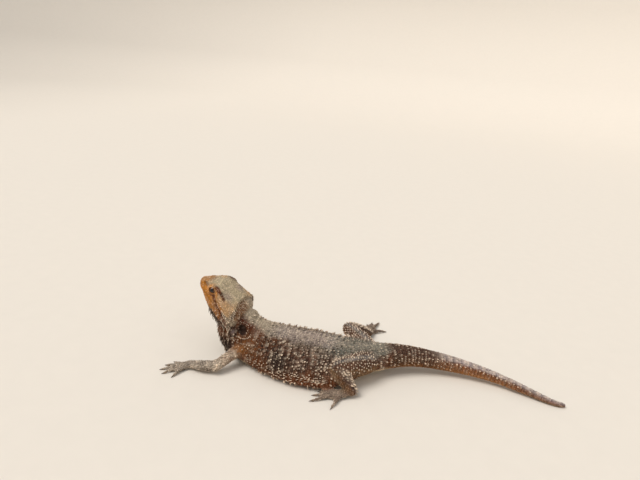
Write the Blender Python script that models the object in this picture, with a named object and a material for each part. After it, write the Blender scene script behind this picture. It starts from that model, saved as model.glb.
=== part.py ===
"""A life-size bearded dragon at rest: chest and belly on the ground, head raised, near arm reaching forward.

The animal faces -X, its left side is towards -Y and +Z is up. Lengths are in millimetres until a mesh is made.
The spine is one row of cross-sections from the nape to the tail's tip, and each leg is a chain of rounded lengths.
Every part of the body is one closed solid, and parts that meet keep a thin gap.
"""

import bmesh
import bpy
from math import atan2, copysign, cos, pi, radians, sin
from mathutils import Matrix, Vector

# ---------------------------------------------------------------- driving dimensions, in mm
MM = 0.001
GAP = 0.3  # left between two parts that meet
BODY_SIDES = 24
HEAD_SIDES = 24
LEG_SIDES = 12
TOE_SIDES = 8
CLAW_SIDES = 5
CLAW_STEPS = 3
EYE_SEGMENTS = (12, 8)
NECK_RINGS = 9
TRUNK_RINGS = 17
TAIL_RINGS = (7, 8, 8)
SPINE_CUTTER_RINGS = 36
LIMB_RINGS = 7
FOOT_RINGS = 5

# Cross-sections of the spine, from the head's rear to the root of the tail. Each spans from a point on the
# back to one on the belly. "widest" is how far up that span the section is broadest.
#    name         back x, z      belly x, z   middle y  half width  widest  roundness
STATIONS = (
    ("nape",      (-69.0, 48.5), (-83.0, 32.0),  3.5,   15.0,  0.50, 2.2),
    ("throat",    (-57.5, 43.5), (-86.0, 16.5),  1.5,   17.5,  0.50, 2.2),
    ("shoulders", (-46.5, 36.0), (-76.0,  2.0),  0.0,   22.0,  0.45, 2.1),
    ("chest",     (-31.0, 34.0), (-52.0, -0.6), -2.0,   29.5,  0.30, 1.9),
    ("ribs",      (-12.0, 33.5), (-21.0, -0.8), -3.5,   38.5,  0.20, 1.7),
    ("belly",     ( 10.0, 33.0), (  8.0, -0.8), -4.0,   42.0,  0.18, 1.6),
    ("loin",      ( 30.0, 32.0), ( 31.0, -0.6), -3.5,   36.0,  0.22, 1.7),
    ("pelvis",    ( 49.0, 31.0), ( 51.0,  1.0), -1.0,   21.5,  0.40, 2.0),
    ("vent",      ( 66.0, 30.0), ( 66.0,  4.5),  3.0,   14.5,  0.50, 2.0),
)
# The middle of the tail, which bows to the right and comes down to the ground, and its thickness.
TAIL_ROUTE = (
    (98.0, 14.5, 16.6), (138.0, 20.0, 12.2), (175.0, 16.5, 8.9),
    (203.0, 8.0, 6.0), (229.0, -1.5, 3.1), (242.0, -3.0, 2.3),
)
TAIL_ROOT_RADIUS = 12.6
TAIL_TIP_RADIUS = 2.5
TAIL_FLATNESS = 0.93  # height over width
TAIL_TAPER = 0.92

# Where the spine is parted, as places along its row of sections.
NECK_ENDS = (0.0, 1.9)
TRUNK_ENDS = (1.9, 7.75)
TAIL_CUTS = (7.75, 9.6, 11.6, 14.0)
SPINE_CUTTER_START = 0.5  # the neck's front end is left out of what cuts the arms
FACING_STEP = 0.05  # places on either side that give the way the spine or a leg runs
GAP_STEP = 0.02

# The head: its origin is the middle of the crown's rear edge, +X towards the snout, +Y to its left.
HEAD_PLACE = (-65.1, 0.6, 53.8)
HEAD_YAW = -10.6  # degrees, turned a little to the animal's right
HEAD_PITCH = 27.3  # degrees, snout up
HEAD_ROLL = -5.0  # degrees, left side down
HEAD_LENGTH = 49.3
HEAD_REAR = -6.0
HEAD_RING_START = 2.0  # from the rear to the first ring inside the head
HEAD_RING_STEP = 2.9
HEAD_RING_COUNT = 18
SNOUT_RING = 1.2  # the last ring's distance from the snout's tip
# Outlines of the head as (place from the rear to the snout, value).
CROWN_LINE = (
    (-6, -3.6), (0, -0.2), (10, 2.2), (22, 4.3), (29, 4.6),
    (35, 1.6), (42, -2.4), (47, -4.8), (49.3, -7.4),
)
CROWN_HALF = (
    (-6, 11.0), (0, 13.0), (10, 12.6), (22, 10.8), (29, 9.0),
    (35, 6.8), (42, 4.4), (47, 2.8), (49.3, 1.4),
)
TEMPLE_LINE = (
    (-6, -8.0), (0, -5.0), (10, -1.8), (22, 3.0), (29, 4.2),
    (35, 0.4), (42, -3.9), (47, -6.6), (49.3, -8.6),
)
TEMPLE_HALF = (
    (-6, 15.5), (0, 19.4), (10, 18.0), (22, 14.2), (29, 12.4),
    (35, 10.0), (42, 7.0), (47, 4.6), (49.3, 2.2),
)
CHEEK_HALF = (
    (-6, 17.0), (0, 20.4), (10, 19.6), (22, 15.8), (29, 13.4),
    (35, 11.4), (42, 8.8), (47, 5.8), (49.3, 3.0),
)
CHEEK_LINE = (
    (-6, -16.0), (0, -14.6), (10, -13.0), (22, -11.0),
    (29, -10.0), (35, -10.0), (42, -10.2), (49.3, -10.4),
)
JAW_HALF = (
    (-6, 12.5), (0, 15.2), (10, 14.6), (22, 11.4), (30, 9.4),
    (38, 7.2), (44, 5.2), (47, 3.8), (49.3, 1.8),
)
JAW_LINE = (
    (-6, -26.5), (0, -27.5), (10, -27.5), (22, -25.5), (30, -22.0),
    (38, -17.0), (44, -13.8), (47, -12.4), (49.3, -11.4),
)
THROAT_LINE = (
    (-6, -32.5), (0, -34.5), (10, -34.0), (22, -31.0), (30, -25.8),
    (38, -19.0), (44, -14.8), (47, -12.9), (49.3, -11.7),
)

EYE_PLACE = (30.5, 8.8, -3.2)
EYE_RADIUS = 4.9
MOUTH_CORNER = (10.6, -12.2)  # the mouth's rear end, as head x and z
MOUTH_RISE = 3.4  # degrees that the mouth line climbs towards the snout
JAW_BLOCK = (60.0, 60.0, 40.0)  # length, width and depth of the block that parts the jaw from the head

# Legs as (place of a joint, radius there). The root is inside the trunk.
LIMB_FLATNESS = 0.92
DOME = ((0.55, 0.83), (0.9, 0.42))  # a rounded end: each ring's distance out and width, as shares of the radius
LEFT_ARM = (((-56, -13, 17.5), 7.6), ((-67.5, -29, 12.8), 5.7), ((-77, -41.5, 7.8), 5.3))
LEFT_FOREARM = (((-77, -41.5, 7.8), 5.1), ((-90, -42.8, 6.8), 4.9), ((-103, -40.8, 4.8), 3.6))
RIGHT_ARM = (((-55, 12, 17.5), 7.6), ((-51, 28, 12.8), 5.7), ((-47, 40, 7.8), 5.3))
RIGHT_FOREARM = (((-47, 40, 7.8), 5.1), ((-59, 40.5, 6.8), 4.9), ((-72, 38, 4.8), 3.6))
LEFT_THIGH = (((57, -10, 18), 12.0), ((45.5, -24, 20.5), 10.4), ((33, -34.5, 23.5), 7.0))
LEFT_SHANK = (((33, -34.5, 23.5), 6.6), ((40, -38, 15.5), 6.6), ((48, -41, 6.6), 5.0))
RIGHT_THIGH = (((57, 8, 18), 12.0), ((46, 27, 19.5), 10.0), ((34.5, 43.5, 19.5), 6.6))
RIGHT_SHANK = (((34.5, 43.5, 19.5), 6.3), ((45, 54, 13.5), 6.0), ((56, 63, 6.2), 4.4))

# Toes as (spread from the foot's own line, length), from the innermost to the outermost.
FINGERS = ((-50, 7.5), (-24, 11.0), (-4, 13.5), (14, 13.0), (42, 9.5))
TOES = ((-38, 8.5), (-20, 12.5), (-5, 17.0), (11, 21.0), (52, 12.5))
PALM_LENGTH, PALM_HALF, PALM_HEIGHT = 10.5, 5.6, 3.1
SOLE_LENGTH, SOLE_HALF, SOLE_HEIGHT = 16.0, 5.8, 3.4
FINGER_RADII = (1.9, 1.35)
TOE_RADII = (2.1, 1.4)
TOE_STEP = 0.03  # each toe stands this much higher than the last, so that no two soles share a plane
TOE_CLEARANCE = 0.5  # between the ground and a toe's underside at its root
KNUCKLE_RISE, KNUCKLE_SWELL = 0.2, 0.1
TOE_TIP_SINK = 0.1
WRIST_RADIUS = 3.9
WRIST_OVERLAP = 0.5  # how far the palm starts inside the lower leg
PALM_WAIST = 0.85  # width of the middle of the palm over its front
PALM_FLATNESS = 0.62
PALM_ARCH, PALM_FRONT_DROP = 0.2, 0.5
TOE_ROOT_INSET = 1.0  # how far the toes start inside the palm
TOE_ROOT_CURVE = 0.06  # and how much farther back for each degree of spread
TOE_ROOT_SPREAD = 0.9
CLAW_LENGTH = 4.2
CLAW_RADII = (1.0, 0.27)
CLAW_WIDTH = 0.8  # width over height
CLAW_ARCH = 28.6  # degrees that a claw first rises over the line of its toe
CLAW_BEND = 64.0  # degrees that it turns down by its tip
CLAW_CLEARANCE = 0.45  # between the ground and the middle of a claw
CLAW_GAP = GAP + 0.05


# ---------------------------------------------------------------- curves and sections
def between(values, place):
    """Catmull-Rom value at a place counted in whole steps along a row of numbers or vectors."""
    last = len(values) - 1
    low = min(max(int(place // 1), 0), last - 1)
    t = place - low
    a, b, c, d = (values[min(max(low + k, 0), last)] for k in (-1, 0, 1, 2))
    return 0.5 * (2 * b + (c - a) * t + (2 * a - 5 * b + 4 * c - d) * t * t + (3 * b - a - 3 * c + d) * t**3)


def outline(line, x):
    """Smooth value of an outline at x. Its steps needn't be even."""
    xs = [p[0] for p in line]
    x = min(max(x, xs[0]), xs[-1])
    k = max(i for i in range(len(xs) - 1) if xs[i] <= x)
    step = (x - xs[k]) / (xs[k + 1] - xs[k])
    return between([p[1] for p in line], k + step)


def power(value, exponent):
    return copysign(abs(value) ** exponent, value)


def oval(middle, side, up, half_width, rise, drop, roundness=2.0, count=LEG_SIDES, ground=0.0):
    """A closed section about middle: a superellipse with its own rise and drop, kept above the ground."""
    points = []
    for k in range(count):
        angle = 2 * pi * (k + 0.5) / count
        across = half_width * power(cos(angle), 2 / roundness)
        height = (rise if sin(angle) > 0 else drop) * power(sin(angle), 2 / roundness)
        point = middle + side * across + up * height
        points.append(Vector((point.x, point.y, max(point.z, ground))))
    return points


# ---------------------------------------------------------------- meshes, materials, Booleans
def clear_scene():
    for item in list(bpy.data.objects):
        bpy.data.objects.remove(item)


def collection(name):
    made = bpy.data.collections.new(name)
    bpy.context.scene.collection.children.link(made)
    return made


def finish_of(name, colour, roughness):
    made = bpy.data.materials.new(name)
    made.use_nodes = True
    shader = made.node_tree.nodes["Principled BSDF"]
    shader.inputs["Base Color"].default_value = (*colour, 1.0)
    shader.inputs["Roughness"].default_value = roughness
    shader.inputs["Metallic"].default_value = 0.0
    return made


def loft(rings):
    """A closed mesh through rings of equal count, with a fan over each end."""
    mesh = bmesh.new()
    loops = [[mesh.verts.new(p * MM) for p in ring] for ring in rings]
    count = len(loops[0])
    for near, far in zip(loops, loops[1:]):
        for k in range(count):
            mesh.faces.new((near[k], near[(k + 1) % count], far[(k + 1) % count], far[k]))
    for end in (loops[0], loops[-1]):
        middle = mesh.verts.new(sum((v.co for v in end), Vector()) / count)
        for k in range(count):
            mesh.faces.new((end[k], end[(k + 1) % count], middle))
    bmesh.ops.recalc_face_normals(mesh, faces=mesh.faces)
    return mesh


def solid(name, mesh, finish, home):
    data = bpy.data.meshes.new(name)
    mesh.to_mesh(data)
    mesh.free()
    data.shade_smooth()
    made = bpy.data.objects.new(name, data)
    made.data.materials.append(finish)
    home.objects.link(made)
    return made


def cutter(name, mesh, home):
    made = solid(name, mesh, FINISHES["flesh"], home)
    made.hide_render = True
    made.display_type = "WIRE"
    return made


def recentre(groups):
    """Moves every mesh so that the model's box stands on z = 0, centred over the origin."""
    corners = [v.co for item in groups[0].objects for v in item.data.vertices]
    low, high = (Vector([pick(c[k] for c in corners) for k in range(3)]) for pick in (min, max))
    shift = Matrix.Translation((-(low.x + high.x) / 2, -(low.y + high.y) / 2, -low.z))
    for group in groups:
        for item in group.objects:
            item.data.transform(shift)


def combine(target, other, operation):
    step = target.modifiers.new(f"{operation.lower()} {other.name}", "BOOLEAN")
    step.operation = operation
    step.object = other
    step.solver = "EXACT"


# ---------------------------------------------------------------- the spine
def spine_rows():
    """The stations and the tail's route as matching rows: back, belly, half width, widest, roundness."""
    backs, bellies, halves, widests, rounds = [], [], [], [], []
    for _, back, belly, y, half, widest, roundness in STATIONS:
        backs.append(Vector((back[0], y, back[1])))
        bellies.append(Vector((belly[0], y, belly[1])))
        halves.append(half)
        widests.append(widest)
        rounds.append(roundness)
    for k, place in enumerate(TAIL_ROUTE):
        share = (place[0] - STATIONS[-1][1][0]) / (TAIL_ROUTE[-1][0] - STATIONS[-1][1][0])
        half = TAIL_ROOT_RADIUS + (TAIL_TIP_RADIUS - TAIL_ROOT_RADIUS) * share**TAIL_TAPER
        rise = Vector((0, 0, half * TAIL_FLATNESS))
        backs.append(Vector(place) + rise)
        bellies.append(Vector(place) - rise)
        halves.append(half)
        widests.append(0.5)
        rounds.append(2.0)
    return backs, bellies, halves, widests, rounds


def spine_section(rows, place, grow=0.0):
    """One ring of the spine, turned to face along it, and grown outwards for a cutter."""
    backs, bellies, halves, widests, rounds = rows
    back, belly = between(backs, place), between(bellies, place)
    ahead = between(backs, place + FACING_STEP) + between(bellies, place + FACING_STEP)
    behind = between(backs, place - FACING_STEP) + between(bellies, place - FACING_STEP)
    along = ahead - behind
    side = Vector((along.y, -along.x, 0)).normalized()
    up = (back - belly).normalized()
    height = (back - belly).length
    widest = between(widests, place)
    middle = belly + up * height * widest
    return oval(
        middle, side, up,
        between(halves, place) + grow,
        height * (1 - widest) + grow,
        height * widest + grow,
        between(rounds, place), BODY_SIDES,
    )


def spine_step(rows, place):
    """How much of a place covers the gap, measured where the sections lie closest together."""
    here, there = spine_section(rows, place), spine_section(rows, place + GAP_STEP)
    return GAP_STEP * GAP / min((a - b).length for a, b in zip(here, there))


def spine_length(rows, start, end, count, grow=0.0):
    return loft([spine_section(rows, start + (end - start) * k / (count - 1), grow) for k in range(count)])


# ---------------------------------------------------------------- the head
def head_frame():
    """Head coordinates to body coordinates: the snout along -X, turned and raised."""
    turn = Matrix.Rotation(pi + radians(HEAD_YAW), 4, "Z")
    raise_snout = Matrix.Rotation(-radians(HEAD_PITCH), 4, "Y")
    tilt = Matrix.Rotation(radians(HEAD_ROLL), 4, "X")
    return Matrix.Translation(HEAD_PLACE) @ turn @ raise_snout @ tilt


def head_section(x, grow=0.0):
    """One ring of the head at x, through crown, temple, cheek, jaw and throat on both sides."""
    corners = [
        (0.0, outline(CROWN_LINE, x) + grow),
        (outline(CROWN_HALF, x), outline(CROWN_LINE, x) + grow),
        (outline(TEMPLE_HALF, x) + grow, outline(TEMPLE_LINE, x) + grow),
        (outline(CHEEK_HALF, x) + grow, outline(CHEEK_LINE, x)),
        (outline(JAW_HALF, x) + grow, outline(JAW_LINE, x) - grow),
        (0.0, outline(THROAT_LINE, x) - grow),
    ]
    right = [(-y, z) for y, z in corners[-2:0:-1]]
    closed = [Vector((0.0, y, z)) for y, z in corners + right]
    points = []
    for k in range(HEAD_SIDES):
        place = k * len(closed) / HEAD_SIDES
        low = int(place)
        four = [closed[(low + n) % len(closed)] for n in (-1, 0, 1, 2)]
        smooth = between(four, 1 + place - low)
        points.append(Vector((x, smooth.y, smooth.z)))
    return points


def head_mesh(grow=0.0):
    frame = head_frame()
    inner = [HEAD_REAR + HEAD_RING_START + HEAD_RING_STEP * k for k in range(HEAD_RING_COUNT)]
    stops = [HEAD_REAR - grow, *inner, HEAD_LENGTH - SNOUT_RING, HEAD_LENGTH + grow]
    return loft([[frame @ p for p in head_section(x, grow)] for x in stops])


def jaw_block(grow):
    """A block that holds the lower jaw: under the mouth line and ahead of the jaw's hinge."""
    mesh = bmesh.new()
    bmesh.ops.create_cube(mesh, size=1.0)
    long, wide, deep = JAW_BLOCK
    bmesh.ops.scale(mesh, vec=Vector((long + grow, wide, deep + grow)) * MM, verts=mesh.verts)
    middle = Vector(((long - grow) / 2, 0, -(deep - grow) / 2)) * MM
    bmesh.ops.translate(mesh, vec=middle, verts=mesh.verts)
    hinge = Matrix.Translation(Vector((MOUTH_CORNER[0], 0, MOUTH_CORNER[1])) * MM)
    frame = head_frame()
    frame.translation *= MM
    bmesh.ops.transform(mesh, matrix=frame @ hinge @ Matrix.Rotation(-radians(MOUTH_RISE), 4, "Y"), verts=mesh.verts)
    return mesh


def eye_ball(side, grow=0.0):
    mesh = bmesh.new()
    around, over = EYE_SEGMENTS
    bmesh.ops.create_uvsphere(mesh, u_segments=around, v_segments=over, radius=(EYE_RADIUS + grow) * MM)
    place = head_frame() @ Vector((EYE_PLACE[0], side * EYE_PLACE[1], EYE_PLACE[2]))
    bmesh.ops.translate(mesh, vec=place * MM, verts=mesh.verts)
    return mesh


# ---------------------------------------------------------------- legs and feet
def tube(
    path, flatness=1.0, sides=LEG_SIDES, steps=LIMB_RINGS, grow=0.0,
    round_start=True, round_end=True, ground=0.0,
):
    """A tapered length through (place, radius) points, domed at its ends where asked."""
    places, radii = [Vector(p) for p, _ in path], [r for _, r in path]
    rings = []
    for k in range(steps):
        stop = k * (len(path) - 1) / (steps - 1)
        along = (between(places, stop + FACING_STEP) - between(places, stop - FACING_STEP)).normalized()
        rings.append((between(places, stop), along, between(radii, stop) + grow))
    if round_start:
        middle, along, radius = rings[0]
        rings = [(middle - along * radius * out, along, radius * wide) for out, wide in reversed(DOME)] + rings
    if round_end:
        middle, along, radius = rings[-1]
        rings += [(middle + along * radius * out, along, radius * wide) for out, wide in DOME]
    made = []
    for middle, along, radius in rings:
        side = along.cross(Vector((0, 0, 1))).normalized()
        up = side.cross(along)
        made.append(oval(middle, side, up, radius, radius * flatness, radius * flatness, 2.0, sides, ground))
    return loft(made)


def heading(angle):
    """A level direction, in degrees to the left of straight ahead (-X)."""
    return Vector((-cos(radians(angle)), -sin(radians(angle)), 0))


def toe_path(root, angle, length, radii):
    """A toe from inside the foot: up over its knuckle and down to its tip."""
    ahead = heading(angle)
    thick, thin = radii
    lift = Vector((0, 0, 1))
    return (
        (root + lift * (thick + TOE_CLEARANCE), thick),
        (
            root + ahead * length / 2 + lift * (thick + TOE_CLEARANCE + KNUCKLE_RISE),
            (thick + thin) / 2 + KNUCKLE_SWELL,
        ),
        (root + ahead * length + lift * (thin - TOE_TIP_SINK), thin),
    )


def foot(name, wrist, angle, side, spec, home, cutters, cut_by):
    """A hand or foot: a flat palm and five toes joined to it, with a claw ahead of each toe."""
    toes, radii, length, half, height = spec
    ahead = heading(angle)
    inward = side * Vector((ahead.y, -ahead.x, 0))
    start = Vector((wrist[0], wrist[1], 0))
    palm_path = (
        (start + Vector((0, 0, wrist[2])) - ahead * WRIST_OVERLAP, WRIST_RADIUS),
        (start + ahead * length / 2 + Vector((0, 0, height + PALM_ARCH)), half * PALM_WAIST),
        (start + ahead * length + Vector((0, 0, height - PALM_FRONT_DROP)), half),
    )
    palm_shape = tube(palm_path, flatness=PALM_FLATNESS, steps=FOOT_RINGS, round_start=False)
    palm = solid(name, palm_shape, FINISHES["flesh"], home)
    for number, (spread, reach) in enumerate(toes, 1):
        turned = angle + side * spread
        root = start + ahead * (length - TOE_ROOT_INSET - TOE_ROOT_CURVE * abs(spread))
        root -= inward * half * TOE_ROOT_SPREAD * sin(radians(spread))
        root.z = TOE_STEP * number
        path = toe_path(root, turned, reach, radii)
        shape = tube(path, sides=TOE_SIDES, steps=FOOT_RINGS, round_end=False, ground=root.z)
        toe = cutter(f"{name}_toe_{number}", shape, cutters)
        combine(palm, toe, "UNION")
        claw(f"{name}_claw_{number}", path, turned, home)
    for other in cut_by:
        combine(palm, other, "DIFFERENCE")


def claw(name, toe, angle, home):
    """A curved claw that starts just ahead of its toe and stays above the ground."""
    tip = toe[-1][0]
    before = toe[-2][0]
    along = (tip - before).normalized()
    rings = []
    place = tip + along * CLAW_GAP
    slope = atan2(along.z, (along.x**2 + along.y**2) ** 0.5)
    ahead = heading(angle)
    for k in range(CLAW_STEPS + 1):
        share = k / CLAW_STEPS
        lean = slope + radians(CLAW_ARCH - CLAW_BEND * share) if k else slope
        way = ahead * cos(lean) + Vector((0, 0, sin(lean)))
        side = way.cross(Vector((0, 0, 1))).normalized()
        radius = CLAW_RADII[0] + (CLAW_RADII[1] - CLAW_RADII[0]) * share
        rings.append(oval(place, side, side.cross(way), radius * CLAW_WIDTH, radius, radius, count=CLAW_SIDES))
        place = place + way * CLAW_LENGTH / CLAW_STEPS
        place.z = max(place.z, CLAW_CLEARANCE)
    solid(name, loft(rings), FINISHES["claw"], home)


# ---------------------------------------------------------------- the parts
def build_spine(home, cutters):
    rows = spine_rows()
    head_cut = cutter("head_cutter", head_mesh(GAP), cutters)
    step = {place: spine_step(rows, place) for place in (TRUNK_ENDS[0], *TAIL_CUTS)}
    neck = solid("neck", spine_length(rows, *NECK_ENDS, NECK_RINGS), FINISHES["flesh"], home)
    combine(neck, head_cut, "DIFFERENCE")
    start = TRUNK_ENDS[0] + step[TRUNK_ENDS[0]]
    solid("trunk", spine_length(rows, start, TRUNK_ENDS[1], TRUNK_RINGS), FINISHES["flesh"], home)
    names = ("tail_base", "tail_middle", "tail_end")
    for name, low, high, count in zip(names, TAIL_CUTS, TAIL_CUTS[1:], TAIL_RINGS):
        solid(name, spine_length(rows, low + step[low], high, count), FINISHES["flesh"], home)
    wide = spine_length(rows, SPINE_CUTTER_START, TAIL_CUTS[1], SPINE_CUTTER_RINGS, GAP)
    return cutter("spine_cutter", wide, cutters)


def build_head(home, cutters):
    head = solid("head", head_mesh(), FINISHES["flesh"], home)
    combine(head, cutter("jaw_room", jaw_block(GAP), cutters), "DIFFERENCE")
    jaw = solid("lower_jaw", head_mesh(), FINISHES["flesh"], home)
    combine(jaw, cutter("jaw_keep", jaw_block(0.0), cutters), "INTERSECT")
    for name, side in (("left", 1), ("right", -1)):
        combine(head, cutter(f"socket_{name}", eye_ball(side, GAP), cutters), "DIFFERENCE")
        solid(f"eye_{name}", eye_ball(side), FINISHES["eye"], home)


def build_leg(names, upper, lower, angle, side, spec, spine, home, cutters):
    """Two lengths and a foot. Each is cut back from what carries it."""
    top = solid(names[0], tube(upper, flatness=LIMB_FLATNESS), FINISHES["flesh"], home)
    combine(top, spine, "DIFFERENCE")
    top_cut = cutter(f"{names[0]}_cutter", tube(upper, flatness=LIMB_FLATNESS, grow=GAP), cutters)
    bottom = solid(names[1], tube(lower, round_start=False), FINISHES["flesh"], home)
    combine(bottom, top_cut, "DIFFERENCE")
    combine(bottom, spine, "DIFFERENCE")
    bottom_cut = cutter(f"{names[1]}_cutter", tube(lower, grow=GAP), cutters)
    foot(names[2], lower[-1][0], angle, side, spec, home, cutters, [bottom_cut])


def build():
    clear_scene()
    FINISHES["flesh"] = finish_of("scaly_skin", (0.42, 0.32, 0.23), 0.75)
    FINISHES["eye"] = finish_of("eye", (0.12, 0.06, 0.02), 0.1)
    FINISHES["claw"] = finish_of("claw_horn", (0.16, 0.11, 0.08), 0.4)
    home, cutters = collection("bearded_dragon"), collection("cutters")
    build_head(home, cutters)
    spine = build_spine(home, cutters)
    hand = (FINGERS, FINGER_RADII, PALM_LENGTH, PALM_HALF, PALM_HEIGHT)
    sole = (TOES, TOE_RADII, SOLE_LENGTH, SOLE_HALF, SOLE_HEIGHT)
    legs = (
        ("left", 1, LEFT_ARM, LEFT_FOREARM, 27, LEFT_THIGH, LEFT_SHANK, 18),
        ("right", -1, RIGHT_ARM, RIGHT_FOREARM, -4, RIGHT_THIGH, RIGHT_SHANK, -98),
    )
    for word, side, arm, forearm, hand_angle, thigh, shank, foot_angle in legs:
        front = (f"upper_arm_{word}", f"forearm_{word}", f"hand_{word}")
        hind = (f"thigh_{word}", f"shank_{word}", f"foot_{word}")
        build_leg(front, arm, forearm, hand_angle, side, hand, spine, home, cutters)
        build_leg(hind, thigh, shank, foot_angle, side, sole, spine, home, cutters)
    recentre((home, cutters))


FINISHES = {}
build()
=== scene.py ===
"""Dresses the bearded dragon: one skin, a coat of scales and spines, eyes, claws, and the stage it is shown on.

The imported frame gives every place. The animal faces -X, its left side is towards -Y and +Z is up.
Meshes are worked out in millimetres and turned into metres when an object is made.
"""

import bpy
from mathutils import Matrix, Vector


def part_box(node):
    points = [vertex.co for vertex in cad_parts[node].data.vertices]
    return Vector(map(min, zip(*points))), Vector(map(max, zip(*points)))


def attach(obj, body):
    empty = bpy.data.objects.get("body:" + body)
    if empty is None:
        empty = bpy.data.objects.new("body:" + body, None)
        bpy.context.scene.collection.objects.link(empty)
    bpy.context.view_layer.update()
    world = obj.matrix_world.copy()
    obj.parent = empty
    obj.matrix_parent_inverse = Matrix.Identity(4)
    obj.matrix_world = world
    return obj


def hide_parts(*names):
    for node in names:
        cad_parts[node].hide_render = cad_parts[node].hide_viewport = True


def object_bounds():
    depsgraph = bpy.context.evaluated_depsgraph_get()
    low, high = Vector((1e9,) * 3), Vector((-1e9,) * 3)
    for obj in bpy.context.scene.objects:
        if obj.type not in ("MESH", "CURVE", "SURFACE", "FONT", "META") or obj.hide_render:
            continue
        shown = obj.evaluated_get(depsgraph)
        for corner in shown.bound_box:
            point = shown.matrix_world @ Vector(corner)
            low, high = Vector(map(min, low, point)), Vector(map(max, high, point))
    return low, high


bl_info = {
    "name": "Bearded Dragon",
    "version": (1, 0, 0),
    "blender": (4, 5, 0),
    "location": "View3D > Sidebar > Bearded Dragon",
    "description": "Skin, scales, spines, eyes and claws for a life-size bearded dragon",
    "category": "Object",
}

import bmesh
import bpy
import numpy as np
from bpy.props import FloatProperty, FloatVectorProperty, PointerProperty
from math import cos, pi, radians, sin, tan
from mathutils import Matrix, Vector, noise
from mathutils.bvhtree import BVHTree
from mathutils.kdtree import KDTree

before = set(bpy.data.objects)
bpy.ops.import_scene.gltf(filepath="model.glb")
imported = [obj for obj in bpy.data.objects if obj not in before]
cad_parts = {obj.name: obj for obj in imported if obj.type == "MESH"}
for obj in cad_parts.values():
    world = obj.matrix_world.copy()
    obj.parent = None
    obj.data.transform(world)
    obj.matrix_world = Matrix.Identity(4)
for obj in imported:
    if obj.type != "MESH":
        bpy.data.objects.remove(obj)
CAD_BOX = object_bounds()

MM = 0.001
SIDES = (("left", 1), ("right", -1))

# ---------------------------------------------------------------- the body's parts
HEAD = ("head", "lower_jaw")
SPINE = ("neck", "trunk", "tail_base", "tail_middle", "tail_end")
TAIL = SPINE[2:]
LIMBS = tuple(f"{part}_{side}" for side, _ in SIDES for part in ("upper_arm", "forearm", "thigh", "shank"))
FEET = tuple(f"{part}_{side}" for side, _ in SIDES for part in ("hand", "foot"))
FLESH = HEAD + SPINE + LIMBS + FEET
NEXT_PART = {"upper_arm": "forearm", "forearm": "hand", "thigh": "shank", "shank": "foot"}

# How strongly each part of the skin is relaxed; thin parts would shrink.
RELAX = {"head": 0.35, "lower_jaw": 0.35, "neck": 0.6, "trunk": 0.6, "tail_base": 0.5, "tail_middle": 0.3,
         "tail_end": 0.12, "upper_arm": 0.3, "forearm": 0.22, "thigh": 0.4, "shank": 0.25, "hand": 0.08, "foot": 0.08}
RELAX_ROUNDS = 24
SWELL = 0.2  # how far each node grows so that the gaps between them close, in mm
VOXEL = 1.1  # the size of the skin's first faces, in mm

# The head's own axes: x to the snout, y to its left, z up, in mm from the middle of the crown's rear edge.
HEAD_YAW, HEAD_PITCH, HEAD_ROLL = -10.6, 27.3, -5.0
EYE_IN_HEAD = Vector((30.5, 8.8, -3.2))
EYE_RADIUS = 4.9
MOUTH_CORNER = (10.6, -12.2)
MOUTH_RISE = 3.4
NOSTRIL = (41.8, 7.3, -4.4)
EAR = (-8.4, 19.4, -20.4)
POCKET = (-14.8, 15.8, -14.2)
# A dark stripe from the eye back to the mouth's corner: partly the animal's own stripe, partly painted shade in the
# groove it runs along.
FACE_STREAK_AND_SHADE = ((28.2, 13.0, -5.0), (24.4, 14.5, -6.5), (19.6, 16.4, -8.7), (12.0, 19.2, -9.6), (8.0, 19.8, -11.6))
# Painted shadow under the brow's rear end, behind and above the eye: painted rust and dark.
BROW_SHADOW = ((27.5, 12.6, 4.0), (21.8, 14.2, 3.2), (15.6, 15.7, 0.7))

# Each colour is laid over those before it.
COLOUR_FIELDS = ("green", "crown", "lavender", "belly", "rust", "gold", "dark", "pale")

BODY = {}


# ---------------------------------------------------------------- reading the frame
def box_middle(node):
    low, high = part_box(node)
    return (Vector(low) + Vector(high)) / 2 / MM


def head_frame():
    """Head coordinates to body coordinates, from the middle between the eyes."""
    turn = Matrix.Rotation(pi + radians(HEAD_YAW), 4, "Z")
    raise_snout = Matrix.Rotation(-radians(HEAD_PITCH), 4, "Y")
    made = turn @ raise_snout @ Matrix.Rotation(radians(HEAD_ROLL), 4, "X")
    between_eyes = (box_middle("eye_left") + box_middle("eye_right")) / 2
    made.translation = between_eyes - made @ Vector((EYE_IN_HEAD.x, 0, EYE_IN_HEAD.z))
    return made


def read_mesh(data):
    """The points in mm and the triangles of a mesh."""
    points = np.empty(len(data.vertices) * 3)
    data.vertices.foreach_get("co", points)
    data.calc_loop_triangles()
    faces = np.empty(len(data.loop_triangles) * 3, dtype=np.int32)
    data.loop_triangles.foreach_get("vertices", faces)
    return points.reshape(-1, 3) / MM, faces.reshape(-1, 3).astype(np.int64)


def read_node(name):
    """A node's corners in mm, welded, and its triangles."""
    points, corners = read_mesh(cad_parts[name].data)
    _, first, place = np.unique(points.round(3), axis=0, return_index=True, return_inverse=True)
    faces = place.reshape(-1)[corners]
    whole = (faces != np.roll(faces, -1, axis=1)).all(axis=1)
    return points[first], faces[whole]


# ---------------------------------------------------------------- mesh work
def unit(vectors):
    return vectors / np.maximum(np.linalg.norm(vectors, axis=-1, keepdims=True), 1e-9)


def face_normals(points, faces):
    a, b, c = (points[faces[:, k]] for k in range(3))
    return np.cross(b - a, c - a)


def normals_of(points, faces):
    flat = face_normals(points, faces)
    made = np.zeros_like(points)
    for corner in range(3):
        for axis in range(3):
            made[:, axis] += np.bincount(faces[:, corner], flat[:, axis], len(points))
    return unit(made)


def edges_of(faces):
    pairs = np.concatenate([faces[:, (0, 1)], faces[:, (1, 2)], faces[:, (2, 0)]])
    return np.unique(np.sort(pairs, axis=1), axis=0)


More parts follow.
